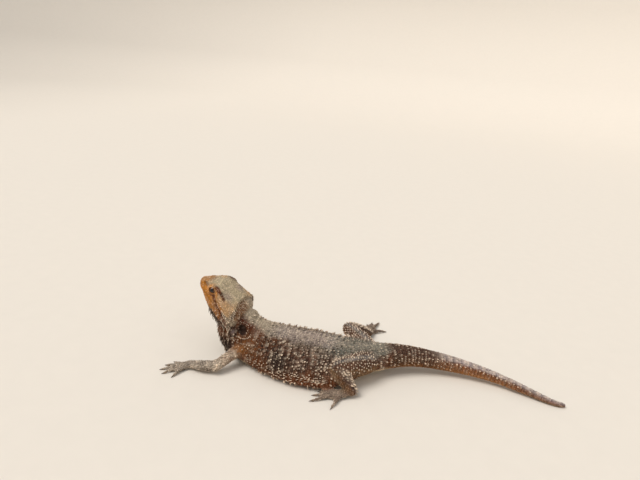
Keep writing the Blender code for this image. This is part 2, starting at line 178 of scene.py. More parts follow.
def averaged(values, edges):
    """The mean of every point's neighbours, for points or for any row of values."""
    count = np.bincount(edges.ravel(), minlength=len(values)).astype(float)
    total = np.zeros_like(values)
    for k in range(values.shape[1]):
        for one, other in ((0, 1), (1, 0)):
            total[:, k] += np.bincount(edges[:, one], values[edges[:, other], k], len(values))
    return total / np.maximum(count, 1)[:, None]


def grid_faces(rows, columns):
    """Triangles over rows of points, each row closed round."""
    faces = []
    for row in range(rows - 1):
        for k in range(columns):
            a, b = row * columns + k, row * columns + (k + 1) % columns
            faces += [(a, b, b + columns), (a, b + columns, a + columns)]
    return np.array(faces)


def outward(points, faces, middle):
    """The faces turned so that they look away from middle."""
    inward = (face_normals(points, faces) * (points[faces].mean(axis=1) - middle)).sum(axis=1).sum() < 0
    return faces[:, ::-1] if inward else faces


def tree_of(points, faces):
    return BVHTree.FromPolygons(points.tolist(), faces.tolist())


def make_mesh(name, points, faces):
    """A smooth object in metres from mm points and triangles."""
    data = bpy.data.meshes.new(name)
    data.vertices.add(len(points))
    data.vertices.foreach_set("co", np.asarray(points * MM, dtype=np.float32).ravel())
    data.loops.add(faces.size)
    data.loops.foreach_set("vertex_index", faces.astype(np.int32).ravel())
    data.polygons.add(len(faces))
    data.polygons.foreach_set("loop_start", np.arange(0, faces.size, 3, dtype=np.int32))
    data.update(calc_edges=True)
    data.validate()
    data.shade_smooth()
    made = bpy.data.objects.new(name, data)
    bpy.context.scene.collection.objects.link(made)
    return made


def mark(piece, name, weights):
    """Writes one weight for each point of a piece, or the same for all, under a name."""
    layer = piece.data.attributes.new(name, "FLOAT", "POINT")
    layer.data.foreach_set("value", np.full(len(piece.data.vertices), weights, dtype=np.float32))


def mark_colours(piece, weights, shade):
    """Writes the weight of every colour, and how much lighter or darker each point is than its colour."""
    for k, name in enumerate(COLOUR_FIELDS):
        mark(piece, name, weights[:, k])
    mark(piece, "shade", shade)


# ---------------------------------------------------------------- soft steps and distances
def rise(values, low, high):
    """0 below low, 1 above high, and smooth between."""
    t = np.clip((values - low) / (high - low), 0, 1)
    return t * t * (3 - 2 * t)


def fall(values, low, high):
    return 1 - rise(values, low, high)


def within(values, low, high, soft):
    return rise(values, low - soft, low + soft) * fall(values, high - soft, high + soft)


def hump(distance, width):
    return np.exp(-((distance / width) ** 2))


def share(values):
    return np.clip(values, 0, 1)


def from_place(points, place, stretch=1.0):
    return np.linalg.norm((points - place) * stretch, axis=1)


def from_line(points, start, end):
    """Distance of points from a straight length."""
    start, end = np.array(start, dtype=float), np.array(end, dtype=float)
    along = end - start
    t = share(((points - start) @ along) / (along @ along))
    return np.linalg.norm(points - start - t[:, None] * along, axis=1)


def from_path(points, path):
    return np.min([from_line(points, start, end) for start, end in zip(path, path[1:])], axis=0)


def blotches(points, size, seed):
    """Smooth patches between -1 and 1, about size mm across."""
    shift = Vector((seed * 17.3, seed * -9.1, seed * 5.7))
    return np.array([noise.noise(Vector(p) / size + shift) for p in points.tolist()]) * 1.6


def skin_of(*names):
    """Marks the skin's points that belong to the named parts."""
    return np.isin(BODY["part"], [FLESH.index(name) for name in names])


# ---------------------------------------------------------------- the head's forms
def head_local(points):
    """Body coordinates to head coordinates."""
    back = np.array(BODY["head_frame"].inverted())
    return points @ back[:3, :3].T + back[:3, 3]


def from_head(points):
    """Head coordinates to body coordinates."""
    ahead = np.array(BODY["head_frame"])
    return np.asarray(points) @ ahead[:3, :3].T + ahead[:3, 3]


def head_turn():
    return np.array(BODY["head_frame"])[:3, :3]


def mirror(local):
    """Head coordinates folded onto the left side."""
    return local * (1, 0, 1) + np.abs(local) * (0, 1, 0)


def mouth_height(x):
    return MOUTH_CORNER[1] + tan(radians(MOUTH_RISE)) * (x - MOUTH_CORNER[0])


def crown_edge(y):
    """Where the crown ends behind, at each distance from the middle."""
    return 4.4 - 0.018 * y * y


def from_eye(mirrored):
    """Distance from the outside of the eye, in mm."""
    return from_place(mirrored, (EYE_IN_HEAD.x, 13.0, EYE_IN_HEAD.z))


def from_ear(mirrored):
    """Distance from the middle of the ear, in mm; the ear's pit is 2.6 mm in radius."""
    return from_place(mirrored, EAR, (1.0, 0.6, 0.85))


def from_pocket(mirrored):
    """Distance from the pocket behind the jaw, where 1 is its rim."""
    away = mirrored - POCKET
    axes = ((-0.63, -0.54, 0.55, 4.1), (-0.70, 0.48, -0.52, 5.1), (0.0, 0.72, 0.69, 8.0))
    return np.sqrt(sum(((away @ axis[:3]) / axis[3]) ** 2 for axis in axes))


def clear_of_pits(mirrored):
    """Marks the places where scales may grow: not in the ear and not in the pocket."""
    return (from_ear(mirrored) > 2.9) & (from_pocket(mirrored) > 1.0)


def head_relief(local):
    """How far the skin of the head stands out (+) or sinks in (-), in mm, at head coordinates."""
    mirrored = mirror(local)
    x, y, z = mirrored.T

    def spot(place, width, stretch=1.0):
        return hump(from_place(mirrored, place, stretch), width)

    # brow, eye socket, cheek, snout and temple
    lift = 1.15 * hump(from_line(mirrored, (22.5, 13.4, 3.4), (35.0, 9.8, 1.0)), 1.8)
    lift += 0.5 * hump(from_line(mirrored, (36.0, 9.2, 0.4), (42.0, 6.2, -3.2)), 1.3)
    lift -= 0.8 * hump(from_eye(mirrored) - 5.2, 1.1) * (z < 1.5)
    lift += 0.7 * spot((14.0, 18.0, -6.5), 6.0)
    lift -= 0.5 * spot((33.0, 6.0, 3.5), 3.0, (0.6, 1, 1))
    lift -= 0.55 * spot((17.0, 7.5, 4.0), 4.0)
    # mouth, streak, nostril, ear and jowl
    above_mouth = z - mouth_height(x)
    open_part = share((x - MOUTH_CORNER[0]) / 1.5) * (1 - 0.7 * rise(x, 43, 48))
    lift -= 1.1 * hump(above_mouth, 0.55) * open_part
    lift += 0.4 * hump(np.abs(above_mouth) - 1.4, 0.8) * open_part
    lift -= 0.6 * hump(from_path(mirrored, FACE_STREAK_AND_SHADE), 1.0)
    nostril, ear = from_place(mirrored, NOSTRIL), from_ear(mirrored)
    lift += 0.5 * hump(nostril - 2.0, 0.7) - 1.9 * hump(nostril, 1.1)
    lift += 0.6 * hump(ear - 3.6, 0.9) - 1.5 * hump(ear, 2.3)
    lift += 0.9 * spot((2.0, 18.5, -17.0), 4.0, (1.0, 1.0, 0.8))
    # the crown's rear edge, the hollow beside the crown and the pocket behind the jaw
    past_crown = x - crown_edge(y)
    upper = rise(z, -13.0, -8.0) * rise(x, -12.0, -5.0)
    hollow = within(x, 4.0, 20.0, 3.0) * hump(y - 15.5, 3.0) * (z > -3)
    lift -= 1.2 * fall(past_crown, -2.6, 0.6) * upper
    lift += 0.2 * hump(past_crown - 1.0, 1.3) * upper - 0.6 * hollow
    pocket = from_pocket(mirrored)
    return lift + 0.8 * hump(pocket - 1.3, 0.3) - 4.2 * hump(pocket, 0.8) * share((y - 2.0) / 3.0)


# ---------------------------------------------------------------- the skin's shape
def merged_flesh():
    """All the nodes of flesh as one set of triangles: points, points of the grown nodes, faces and owners."""
    all_points, grown, all_faces, owners = [], [], [], []
    start = 0
    for number, name in enumerate(FLESH):
        points, faces = read_node(name)
        all_points.append(points)
        grown.append(points + normals_of(points, faces) * SWELL)
        all_faces.append(faces + start)
        owners.append(np.full(len(faces), number))
        start += len(points)
    return (np.concatenate(rows) for rows in (all_points, grown, all_faces, owners))


def remeshed(points, faces):
    piece = make_mesh("draft", points, faces)
    step = piece.modifiers.new("one surface", "REMESH")
    step.mode = "VOXEL"
    step.voxel_size = VOXEL * MM
    made = read_mesh(piece.evaluated_get(bpy.context.evaluated_depsgraph_get()).to_mesh())
    bpy.data.objects.remove(piece)
    return made


def refined(points, faces, chosen):
    """Halves every edge between chosen points."""
    mesh = bmesh.new()
    verts = [mesh.verts.new(p) for p in points.tolist()]
    for corners in faces.tolist():
        mesh.faces.new([verts[k] for k in corners])
    mesh.verts.index_update()
    edges = [e for e in mesh.edges if chosen[e.verts[0].index] and chosen[e.verts[1].index]]
    bmesh.ops.subdivide_edges(mesh, edges=edges, cuts=1, use_grid_fill=True)
    bmesh.ops.triangulate(mesh, faces=mesh.faces)
    mesh.verts.index_update()
    new_points = np.array([v.co[:] for v in mesh.verts])
    new_faces = np.array([[v.index for v in f.verts] for f in mesh.faces])
    mesh.free()
    return new_points, new_faces


def folds(points, part):
    """Soft creases across the neck."""
    wave = np.array([noise.noise(Vector(p) * 0.11) for p in points.tolist()])
    ripple = np.sin(points[:, 0] * 1.15 + wave * 3.0)
    return 0.22 * ripple * (part == FLESH.index("neck"))


def build_skin(coat_depth):
    """Works out the one skin, and who owns each of its points."""
    BODY["head_frame"] = head_frame()
    true_points, grown, faces, owners = merged_flesh()
    flesh_tree = tree_of(true_points, faces)

    def owner_of(points):
        return np.array([owners[flesh_tree.find_nearest(p)[2]] for p in points.tolist()])

    points, faces = remeshed(grown, faces)
    part = owner_of(points)
    near_head = (part < len(HEAD)) | ((head_local(points)[:, 0] > -22) & (part == FLESH.index("neck")))
    points, faces = refined(points, faces, near_head)
    part = owner_of(points)
    edges = edges_of(faces)
    strength = np.array([RELAX[name.removesuffix("_left").removesuffix("_right")] for name in FLESH])
    weight = averaged(strength[part][:, None], edges)
    for amount in (weight,) * RELAX_ROUNDS + (0.4, -0.41) * 3:
        points = points + amount * (averaged(points, edges) - points)
    out = normals_of(points, faces)
    points = points - out * (SWELL + coat_depth)
    local = head_local(points)
    near = (local[:, 0] > -26) & (part <= FLESH.index("neck"))
    lift = np.zeros(len(points))
    lift[near] = head_relief(local[near])
    points = points + out * (lift + folds(points, part))[:, None]
    points[:, 2] = np.maximum(points[:, 2], coat_depth)
    BODY.update(points=points, faces=faces, edges=edges, part=part, normals=normals_of(points, faces))
    BODY["tree"] = tree_of(points, faces)


# ---------------------------------------------------------------- routes and coordinates over the skin
def smoothed_route(route, rounds):
    for _ in range(rounds):
        route = np.concatenate([route[:1], (route[:-2] + 2 * route[1:-1] + route[2:]) / 4, route[-1:]])
    return route


def lengths_along(route):
    return np.concatenate([[0], np.cumsum(np.linalg.norm(np.diff(route, axis=0), axis=1))])


def places_at(stops, lengths, route):
    return np.stack([np.interp(stops, lengths, route[:, k]) for k in range(3)], axis=1)


def evenly(route, step):
    """The same route in even steps."""
    route = np.asarray(route, dtype=float)
    lengths = lengths_along(route)
    return places_at(np.arange(0, lengths[-1], step), lengths, route)


def long_axis(points, way):
    """The direction in which points reach furthest, turned towards the way given."""
    axis = np.linalg.eigh(np.cov((points - points.mean(axis=0)).T))[1][:, -1]
    return axis * np.sign(axis @ way)


def spine_route():
    """The middle line of neck, trunk and tail, from upright slices of the skin."""
    points = BODY["points"][skin_of(*SPINE)]
    middles = []
    for x in np.arange(points[:, 0].min() + 6, points[:, 0].max() - 1.5, 3.0):
        near = points[np.abs(points[:, 0] - x) < 2.0]
        middle = (near.min(axis=0) + near.max(axis=0)) / 2
        middles.append((x, middle[1], middle[2]))
    return evenly(smoothed_route(np.array(middles), 4), 1.0)


def limb_route(name):
    """The middle line of one length of a leg, from its root towards the next part."""
    points, _ = read_node(name)
    middle = points.mean(axis=0)
    part, side = name.rsplit("_", 1)
    along = long_axis(points, np.array(box_middle(f"{NEXT_PART[part]}_{side}")) - middle)
    reach = (points - middle) @ along
    return evenly(middle + np.array([[reach.min()], [reach.max()]]) * along, 1.0)


def facing(route):
    """Along, up and left directions at each stop of a route."""
    along = unit(np.gradient(route, axis=0))
    up = unit(np.array((0.0, 0.0, 1.0)) - along * along[:, 2:3])
    return along, up, np.cross(along, up)


def route_coordinates(points, route):
    """How far along a route each point lies in mm, and its angle round it from the top (+ left)."""
    nearest = np.empty(len(points), dtype=int)
    at_once = 4000
    for start in range(0, len(points), at_once):
        block = points[start:start + at_once]
        nearest[start:start + at_once] = ((block[:, None] - route[None]) ** 2).sum(axis=2).argmin(axis=1)
    offset = points - route[nearest]
    extra, high, across = ((offset * way[nearest]).sum(axis=1) for way in facing(route))
    return nearest + np.clip(extra, -0.5, 0.5), np.arctan2(across, high)


def measure_skin():
    """Gives every point of the skin its place along and round its own part."""
    points = BODY["points"]
    BODY["local"] = head_local(points)
    BODY["routes"] = {name: limb_route(name) for name in LIMBS}
    BODY["routes"]["spine"] = spine_route()
    BODY["along"], BODY["angle"] = np.zeros((2, len(points)))
    for name, route in BODY["routes"].items():
        chosen = skin_of(*(SPINE if name == "spine" else (name,)))
        BODY["along"][chosen], BODY["angle"][chosen] = route_coordinates(points[chosen], route)


# ---------------------------------------------------------------- markings
def head_markings(local, grain, fine):
    """Weights of each colour on the head and jaw, the same on both sides but for the nape."""
    mirrored = mirror(local)
    x, y, z = mirrored.T
    above, past_crown = z - mouth_height(x), x - crown_edge(y)
    side, near_eye, snout = rise(y, 3.0, 9.0), rise(x, 17, 27), rise(x, 35.0, 44.0)
    eye, ear = from_eye(mirrored), from_ear(mirrored)
    # partly the stripe's own rust, partly painted shade in its groove
    streak = fall(from_path(mirrored, FACE_STREAK_AND_SHADE), 0.7 + 0.7 * near_eye, 2.1 + 1.0 * near_eye)
    # painted shadow: rust and dark along the brow's rear end, behind the eye
    brow = fall(from_path(mirrored, BROW_SHADOW), 0.8 + 0.6 * near_eye, 2.3 + 0.8 * near_eye)
    marks = share(streak + brow)
    behind = fall(past_crown, -1.4, 0.6) * rise(z, -13, -9)
    lips = within(above, -9.5, 6.0, 1.5) * rise(x, 8.0, 13.0) * side
    beard = rise(-z, 18.0, 23.0) * fall(x, 22, 31)
    chin = rise(-z, 17.0, 21.0) * rise(x, 22, 31)
    cheek = within(z, -9.0, 0.8, 1.5) * within(x, 2.0, 27.0, 2.0) * side * (1 - behind)
    # painted light: behind the crown only the right side is painted pale grey-green, as if lit there
    nape = behind * fall(local[:, 1] + 2.0 * fine, -9.0, 1.0) * fall(y, 15, 19)
    behind = behind - nape
    temple = hump(from_place(mirrored, (14.7, 10.6, 2.9)), 4.2)
    jaw_end = hump(from_place(mirrored, (-2.2, 19.6, -14.0)), 4.4)
    # painted shade: a dark spot in the crease just behind the mouth's corner, where the face streak ends
    mouth_end_shade = hump(from_place(mirrored, (8.4, 19.8, -11.4)), 2.0)
    # painted shade: the nostril's opening is painted dark
    nostril = hump(from_place(mirrored, NOSTRIL), 1.4)
    snout_line = hump(from_line(mirrored, (36.5, 9.8, -1.0), (43.0, 6.6, -2.8)), 0.9)
    edge_dots = hump(past_crown - 0.6, 1.3) * rise(np.cos(y * 2.6), 0.1, 0.7) * rise(y, 3, 6)
    top = rise(z, -3.5, 0.5) * (1 - behind - nape)
    saddle = hump(x - 40.0, 3.5) * fall(y, 4, 8) * rise(fine, -0.5, 0.3) * (z > -8)
    jowl = within(z, -26, -12, 2) * within(x, -4, 14, 4) * side
    crown = (top + 0.95 * cheek + (1 - side) * rise(z, -12, -4) * (1 - behind) + 0.8 * jaw_end + 0.3 * nape)
    rust = (0.97 * marks + 0.85 * lips * fall(x, 16, 27) + 0.55 * behind * (0.75 + 0.25 * rise(fine, 0, 0.5))
            + 0.4 * hump(eye - 5.5, 1.6) + 0.55 * chin + 0.28 * temple + 0.45 * saddle
            + 0.25 * snout * rise(grain, 0.0, 0.5) + 0.75 * jowl)
    gold = (0.92 * lips * (0.55 + 0.45 * rise(x, 16, 27)) + 0.45 * cheek + 0.6 * snout + 0.5 * chin
            + 0.6 * hump(eye - 5.8, 2.4) * (z < 4) + 0.22 * behind)
    dark = (0.95 * beard + 0.95 * mouth_end_shade + 0.5 * brow * fall(x, 19, 24) + 0.05 * brow + 0.2 * streak
            # painted shade: a dark line along the mouth's crease
            + 0.55 * edge_dots + 0.85 * hump(above, 0.5) * (x > 11) + 0.98 * nostril + 0.35 * snout_line
            # painted shade: a dark ring round the ear's pit
            # painted shadow: a dark line just behind the crown's rear edge, under its overhang
            + 0.7 * hump(ear - 3.4, 0.9) + 0.4 * hump(past_crown + 1.2, 1.1) * rise(z, -10, -6)
            + 0.35 * top * rise(fine, 0.2, 0.8) * rise(np.abs(y - 4), 2, 7))
    # painted reflection: the ear drum is also painted paler for its shine
    pale = 0.25 * rise(fine, 0.3, 0.8) + 0.45 * jaw_end + 0.25 * hump(ear, 2.0) + 0.3 * nape
    off_ear = 1 - hump(ear, 3.0)
    return {
        "green": 0.2 * top * rise(grain, 0.0, 0.6) + 0.3 * nape,
        "crown": share(crown) * (1 - 0.35 * snout),
        # painted reflection: the shiny ear drum is painted pale lavender for the light it reflects
        "lavender": share(0.95 * hump(ear, 2.6) + 0.4 * temple),
        "rust": share(rust) * (1 - 0.6 * jaw_end) * off_ear,
        "gold": share(gold) * (1 - beard) * (1 - share(0.9 * streak + 0.5 * brow)) * off_ear,
        "dark": share(dark),
        "pale": share(pale) * (1 - beard) * (1 - marks),
    }


def spine_markings(along, angle, local, grain, fine):
    """Weights of each colour on neck, trunk and tail."""
    turn = np.abs(np.degrees(angle))
    low, uneven = turn + 7 * grain, along + 6 * grain
    mirrored = mirror(local)
    pocket, ear = from_pocket(mirrored), from_ear(mirrored)
    throat = rise(-local[:, 2], 20, 26) * rise(local[:, 0], -20, -12) * fall(np.abs(local[:, 1]), 12, 17)
    fore, trunk, tail = fall(along, 45, 78), within(along, 50, 148, 8), rise(along, 150, 166)
    belly = rise(low, 112, 124) * (1 - 0.7 * tail) * (1 - throat)
    hip = within(along, 145, 170, 5) * rise(low, 40, 58) * fall(low, 100, 120)
    blotch = hump(np.hypot((along - 60) / 9, (turn - 86) / 17), 1.0)
    shoulder = hump(np.hypot((along - 30) / 9, (turn - 86) / 14), 1.0)
    columns = 0.6 * np.cos(along * 2 * pi / 7.4 + 2.2 * grain - turn / 30) + 0.8 * fine
    spots = np.cos((along / 5.9 + turn / 38) * 2 * pi + grain) * np.cos(turn * 2 * pi / 17) + 0.4 * fine
    spots = rise(spots, 0.15, 0.5)
    bands = rise(np.cos((along - 150) * 2 * pi / 8.5) + 1.1 * fine, 0.0, 0.9)
    # painted light: the grey of the back reaches further down the right side than the left, painted paler as if lit
    brown_from = 1 + 25 * rise(along, 14, 50) + 28 * (angle < 0)
    grey = fall(low, brown_from, brown_from + 20)
    light_back = fore * grey + (1 - fore) * fall(low, 12, 45)
    tail_brown = 0.97 * rise(low, 30, 55) + 0.9 * within(uneven, 164, 208, 13) * fall(low, 30, 55)
    off_ear = 1 - hump(ear, 3.0)
    # painted reflection: the shiny ear drum is painted pale lavender
    lavender = (rise(uneven, 192, 230) * fall(low - 30 * rise(along, 270, 330), 46, 68) + 0.9 * hump(ear, 2.6)
                + 0.4 * (1 - tail) * fall(low, 25, 55) * within(along, 50, 110, 10))
    rust = (0.97 * fore * (1 - grey) + 0.6 * trunk * rise(low, 40, 80) + 0.35 * trunk * rise(low, 84, 98)
            + 0.5 * hip + tail * tail_brown * (1 - 0.4 * rise(along, 280, 325)))
    gold = ((0.18 * tail * rise(low, 40, 75) + 0.3 * tail * rise(low, 85, 120)) * (1 - 0.7 * rise(along, 265, 310))
            + 0.12 * fore * rise(low, 25, 55) + 0.22 * shoulder + 0.1 * trunk * rise(low, 78, 98))
    dark = (0.95 * blotch + 0.45 * within(along, 62, 112, 10) * within(low, 78, 100, 8)
            + (0.7 + 0.15 * rise(turn, 25, 45)) * spots * within(along, 40, 154, 8) * within(turn, 10, 80, 6)
            # painted shade: a dark ring round the ear's pit
            # painted shade: the pocket behind the jaw is painted dark
            + 0.92 * fall(pocket, 0.6, 1.35) + 0.75 * hump(ear - 3.5, 1.0)
            + 0.4 * trunk * rise(-columns, 0.1, 0.8) * within(low, 45, 96, 10)
            + 0.3 * within(uneven, 162, 206, 12) * fall(low, 80, 110) + 0.2 * hip
            + 0.35 * bands * rise(along, 205, 230) * fall(low, 60, 90) + 0.85 * rise(along, 331, 338)
            + 0.38 * fore * (1 - grey) + 0.12 * within(along, 105, 150, 10) * fall(low, 60, 90)
            + 0.36 * tail * fall(along, 200, 240) + 0.65 * fall(along, 6, 20) * rise(turn, 55, 95)
            + 0.6 * fall(along, 14, 30) * rise(turn, 102, 128) + 0.7 * throat)
    pale = (0.3 * (1 - tail) * light_back * (1 - spots) * (1 - 0.5 * rise(along, 105, 130))
            + 0.3 * rise(fine, 0.25, 0.8) * (1 - 0.6 * tail)
            + 0.4 * trunk * rise(columns, 0.2, 0.9) * within(low, 40, 88, 8)
            + 0.36 * rise(along, 200, 222) * fall(low, 20, 55) * (1 - bands))
    return {
        "green": share(0.68 * within(along, 100, 162, 12) * fall(low, 55, 85) * (1 - hip) + 0.25 * fore * grey),
        "crown": 0.35 * fall(along, 25, 60) * grey,
        "lavender": share(lavender),
        "belly": belly,
        "rust": share(rust) * (1 - belly) * off_ear * (1 - 0.85 * throat),
        "gold": share(gold) * (1 - 0.5 * belly) * off_ear,
        "dark": share(dark),
        # painted shade: no pale in the pocket behind the jaw
        "pale": share(pale) * (1 - hump(pocket, 1.2)),
    }


def limb_markings(name, along, angle, fine):
    """Weights of the colours on one part of a leg; those left out are nought."""
    part, side = name.rsplit("_", 1)
    turn = np.abs(np.degrees(angle))
    low, top, specks = rise(turn, 100, 145), fall(turn, 25, 60), rise(fine, 0.15, 0.7)
    if part == "thigh":
        under, top = rise(turn, 66, 96), fall(turn, 8, 30)
        return dict(green=0.55 * top + 0.25 * under, crown=0.12 * under, lavender=0.35 * top, belly=0.4 * low,
                    rust=(1 - top) * (0.6 - 0.25 * under), gold=0.3 * under, pale=0.2 * top * specks,
                    dark=0.2 - 0.06 * under + 0.25 * (1 - low) * rise(-fine, -0.2, 0.5))
    if part == "shank":
        return dict(lavender=0.3 * top, belly=0.4 * low, rust=0.45 * (1 - low), gold=0.22 * rise(turn, 40, 80),
                    dark=0.34 + 0.25 * rise(-fine, 0.0, 0.6), pale=0.3 * fall(turn, 10, 30))
    if part == "foot":
        # painted shade: the right foot is painted darker than the left
        return dict(crown=0.4, lavender=0.2, rust=0.3, dark=(0.45 if side == "right" else 0.2) + 0.2 * specks,
                    pale=0.2 * rise(-fine, 0.1, 0.5))
    if part == "upper_arm":
        # painted shade: the upper arm by the shoulder is painted orange-rust and darker, paler beyond
        root, elbow = fall(along, 5, 10), rise(along, 18, 26)
        return dict(crown=0.25 * (1 - root) + 0.3 * elbow, lavender=0.3 * elbow, gold=0.35 * root,
                    rust=share(0.75 * root + 0.9 * (1 - elbow)) * (0.5 + 0.5 * specks), dark=0.25 * root * specks,
                    pale=(1 - root) * (0.3 + 0.35 * rise(-fine, 0, 0.4)))
    return dict(green=0.4, crown=0.55, lavender=0.35, pale=0.1 + 0.3 * specks,
                dark=0.1 + 0.2 * (part == "hand") + 0.5 * rise(-fine, 0.1, 0.5))


def paint_skin():
    """Works out every colour's weight at every point of the skin; the coat takes its own from here."""
    points, part, edges = BODY["points"], BODY["part"], BODY["edges"]
    grain, fine = blotches(points, 9.0, 1), blotches(points, 3.2, 2)
    fields = np.zeros((len(points), len(COLOUR_FIELDS)))
    for number, name in enumerate(FLESH):
        chosen = part == number
        along, angle, local = (BODY[key][chosen] for key in ("along", "angle", "local"))
        if name in HEAD:
            made = head_markings(local, grain[chosen], fine[chosen])
        elif name in SPINE:
            made = spine_markings(along, angle, local, grain[chosen], fine[chosen])
        else:
            made = limb_markings(name, along, angle, fine[chosen])
        for field, weights in made.items():
            fields[chosen, COLOUR_FIELDS.index(field)] = weights
    border = np.zeros((len(points), 1))
    border[edges[part[edges[:, 0]] != part[edges[:, 1]]].ravel()] = 1.0
    for _ in range(6):
        border = np.maximum(border, averaged(border, edges) * 1.15)
    for _ in range(10):
        fields = fields + np.clip(border, 0.08, 1) * 0.6 * (averaged(fields, edges) - fields)
    BODY["fields"] = share(fields)


# ---------------------------------------------------------------- the flat map of the coat
MAP_WIDTH = 430.0  # in mm of skin
MARGIN = 4
PATCH = 0.003  # the width of one scale's own patch, where the whole map is 1


def lay_flat():
    """A place on the flat map for every point of the skin: each part is rolled out along its own length."""
    flat = np.zeros((len(BODY["points"]), 2))
    along, round_part = BODY["along"] + MARGIN, BODY["angle"] + pi
    chosen = skin_of(*SPINE)
    flat[chosen] = np.stack([along, round_part * 18 + MARGIN], axis=1)[chosen]
    chosen = skin_of(*HEAD)
    local = BODY["local"][chosen]
    round_head = np.arctan2(local[:, 1], local[:, 2] + 12)
    flat[chosen] = np.stack([local[:, 0] + 368, (round_head + pi) * 17 + MARGIN], axis=1)
    for place, name in enumerate(LIMBS):
        chosen = skin_of(name)
        flat[chosen] = np.stack([round_part * 7.5 + MARGIN + 53 * place, along + 120], axis=1)[chosen]
    for place, name in enumerate(FEET):
        chosen = skin_of(name)
        points, under = BODY["points"][chosen], BODY["normals"][chosen, 2] < 0
        across = points[:, :2] - points.min(axis=0)[:2] + MARGIN + np.outer(under, (50.0, 0.0))
        flat[chosen] = across + (104.0 * place, 190.0)
    BODY["flat"] = flat / MAP_WIDTH


# ---------------------------------------------------------------- shapes of one scale and one spine
def closed_shape(rim, top, under, faces):
    """A shape's points and faces, closed by a fan from its lowest point to the rim."""
    lowest = len(rim) + len(top)
    fan = [(k, (k + 1) % len(rim), lowest) for k in range(len(rim))]
    return np.array([*rim, *top, under]), np.array([*faces, *fan])


def scale_shape():
    """A keeled scale, 1 long and 1 wide, whose root and underside sink into the skin."""
    rim = [(0.0, 0.0, -0.35), (0.16, 0.36, -0.2), (0.5, 0.5, 0.0), (0.82, 0.27, 0.3), (1.0, 0.0, 0.62),
           (0.82, -0.27, 0.3), (0.5, -0.5, 0.0), (0.16, -0.36, -0.2)]
    keel = [(0.2, 0.0, 0.35), (0.55, 0.0, 0.85), (0.84, 0.0, 1.0)]
    faces = [(0, 8, 1), (1, 8, 9), (1, 9, 2), (2, 9, 10), (2, 10, 3), (3, 10, 4),
             (4, 10, 5), (5, 10, 6), (6, 10, 9), (6, 9, 7), (7, 9, 8), (7, 8, 0)]
    return closed_shape(rim, keel, (0.45, 0.0, -0.9), faces)


def plate_shape():
    """A low rounded plate, 1 long and 1 wide, for crown, snout and lips."""
    rim = [(0.0, 0.0, -0.3), (0.15, 0.38, -0.25), (0.5, 0.5, -0.15), (0.85, 0.38, -0.05), (1.0, 0.0, 0.05),
           (0.85, -0.38, -0.05), (0.5, -0.5, -0.15), (0.15, -0.38, -0.25)]
    top = [(0.28, 0.2, 0.8), (0.74, 0.2, 1.0), (0.74, -0.2, 1.0), (0.28, -0.2, 0.8)]
    faces = [(0, 8, 1), (1, 8, 2), (2, 8, 9), (2, 9, 3), (3, 9, 4), (4, 9, 10), (4, 10, 5), (5, 10, 6),
             (6, 10, 11), (6, 11, 7), (7, 11, 0), (0, 11, 8), (8, 11, 10), (8, 10, 9)]
    return closed_shape(rim, top, (0.5, 0.0, -0.9), faces)


def spine_shape(sides=7, rings=4):
    """A horny spine, 1 long and 1 across at its root, thinning to a point."""
    points = []
    for ring in range(rings):
        t = ring / rings
        radius = 0.5 * (1 - t) ** 0.8 * (1.0 + 0.15 * (ring == 0))
        for k in range(sides):
            turn = 2 * pi * k / sides
            points.append((t if ring else -0.12, radius * cos(turn), radius * sin(turn)))
    tip, root, last = len(points), len(points) + 1, (rings - 1) * sides
    points += [(1.0, 0.0, 0.0), (-0.12, 0.0, 0.0)]
    ends = [(last + k, last + (k + 1) % sides, tip) for k in range(sides)]
    ends += [((k + 1) % sides, k, root) for k in range(sides)]
    return np.array(points), np.concatenate([grid_faces(rings, sides), ends])


# ---------------------------------------------------------------- laying the coat
def on_skin(points):
    """The nearest place on the skin to each point, its outward direction, and the skin's own point there."""
    found = [BODY["tree"].find_nearest(p) for p in np.asarray(points).tolist()]
    places = np.array([f[0][:] for f in found])
    corners = BODY["faces"][[f[2] for f in found]]
    closest = ((BODY["points"][corners] - places[:, None]) ** 2).sum(axis=2).argmin(axis=1)
    index = corners[np.arange(len(found)), closest]
    return places, unit(BODY["normals"][corners].sum(axis=1)), index


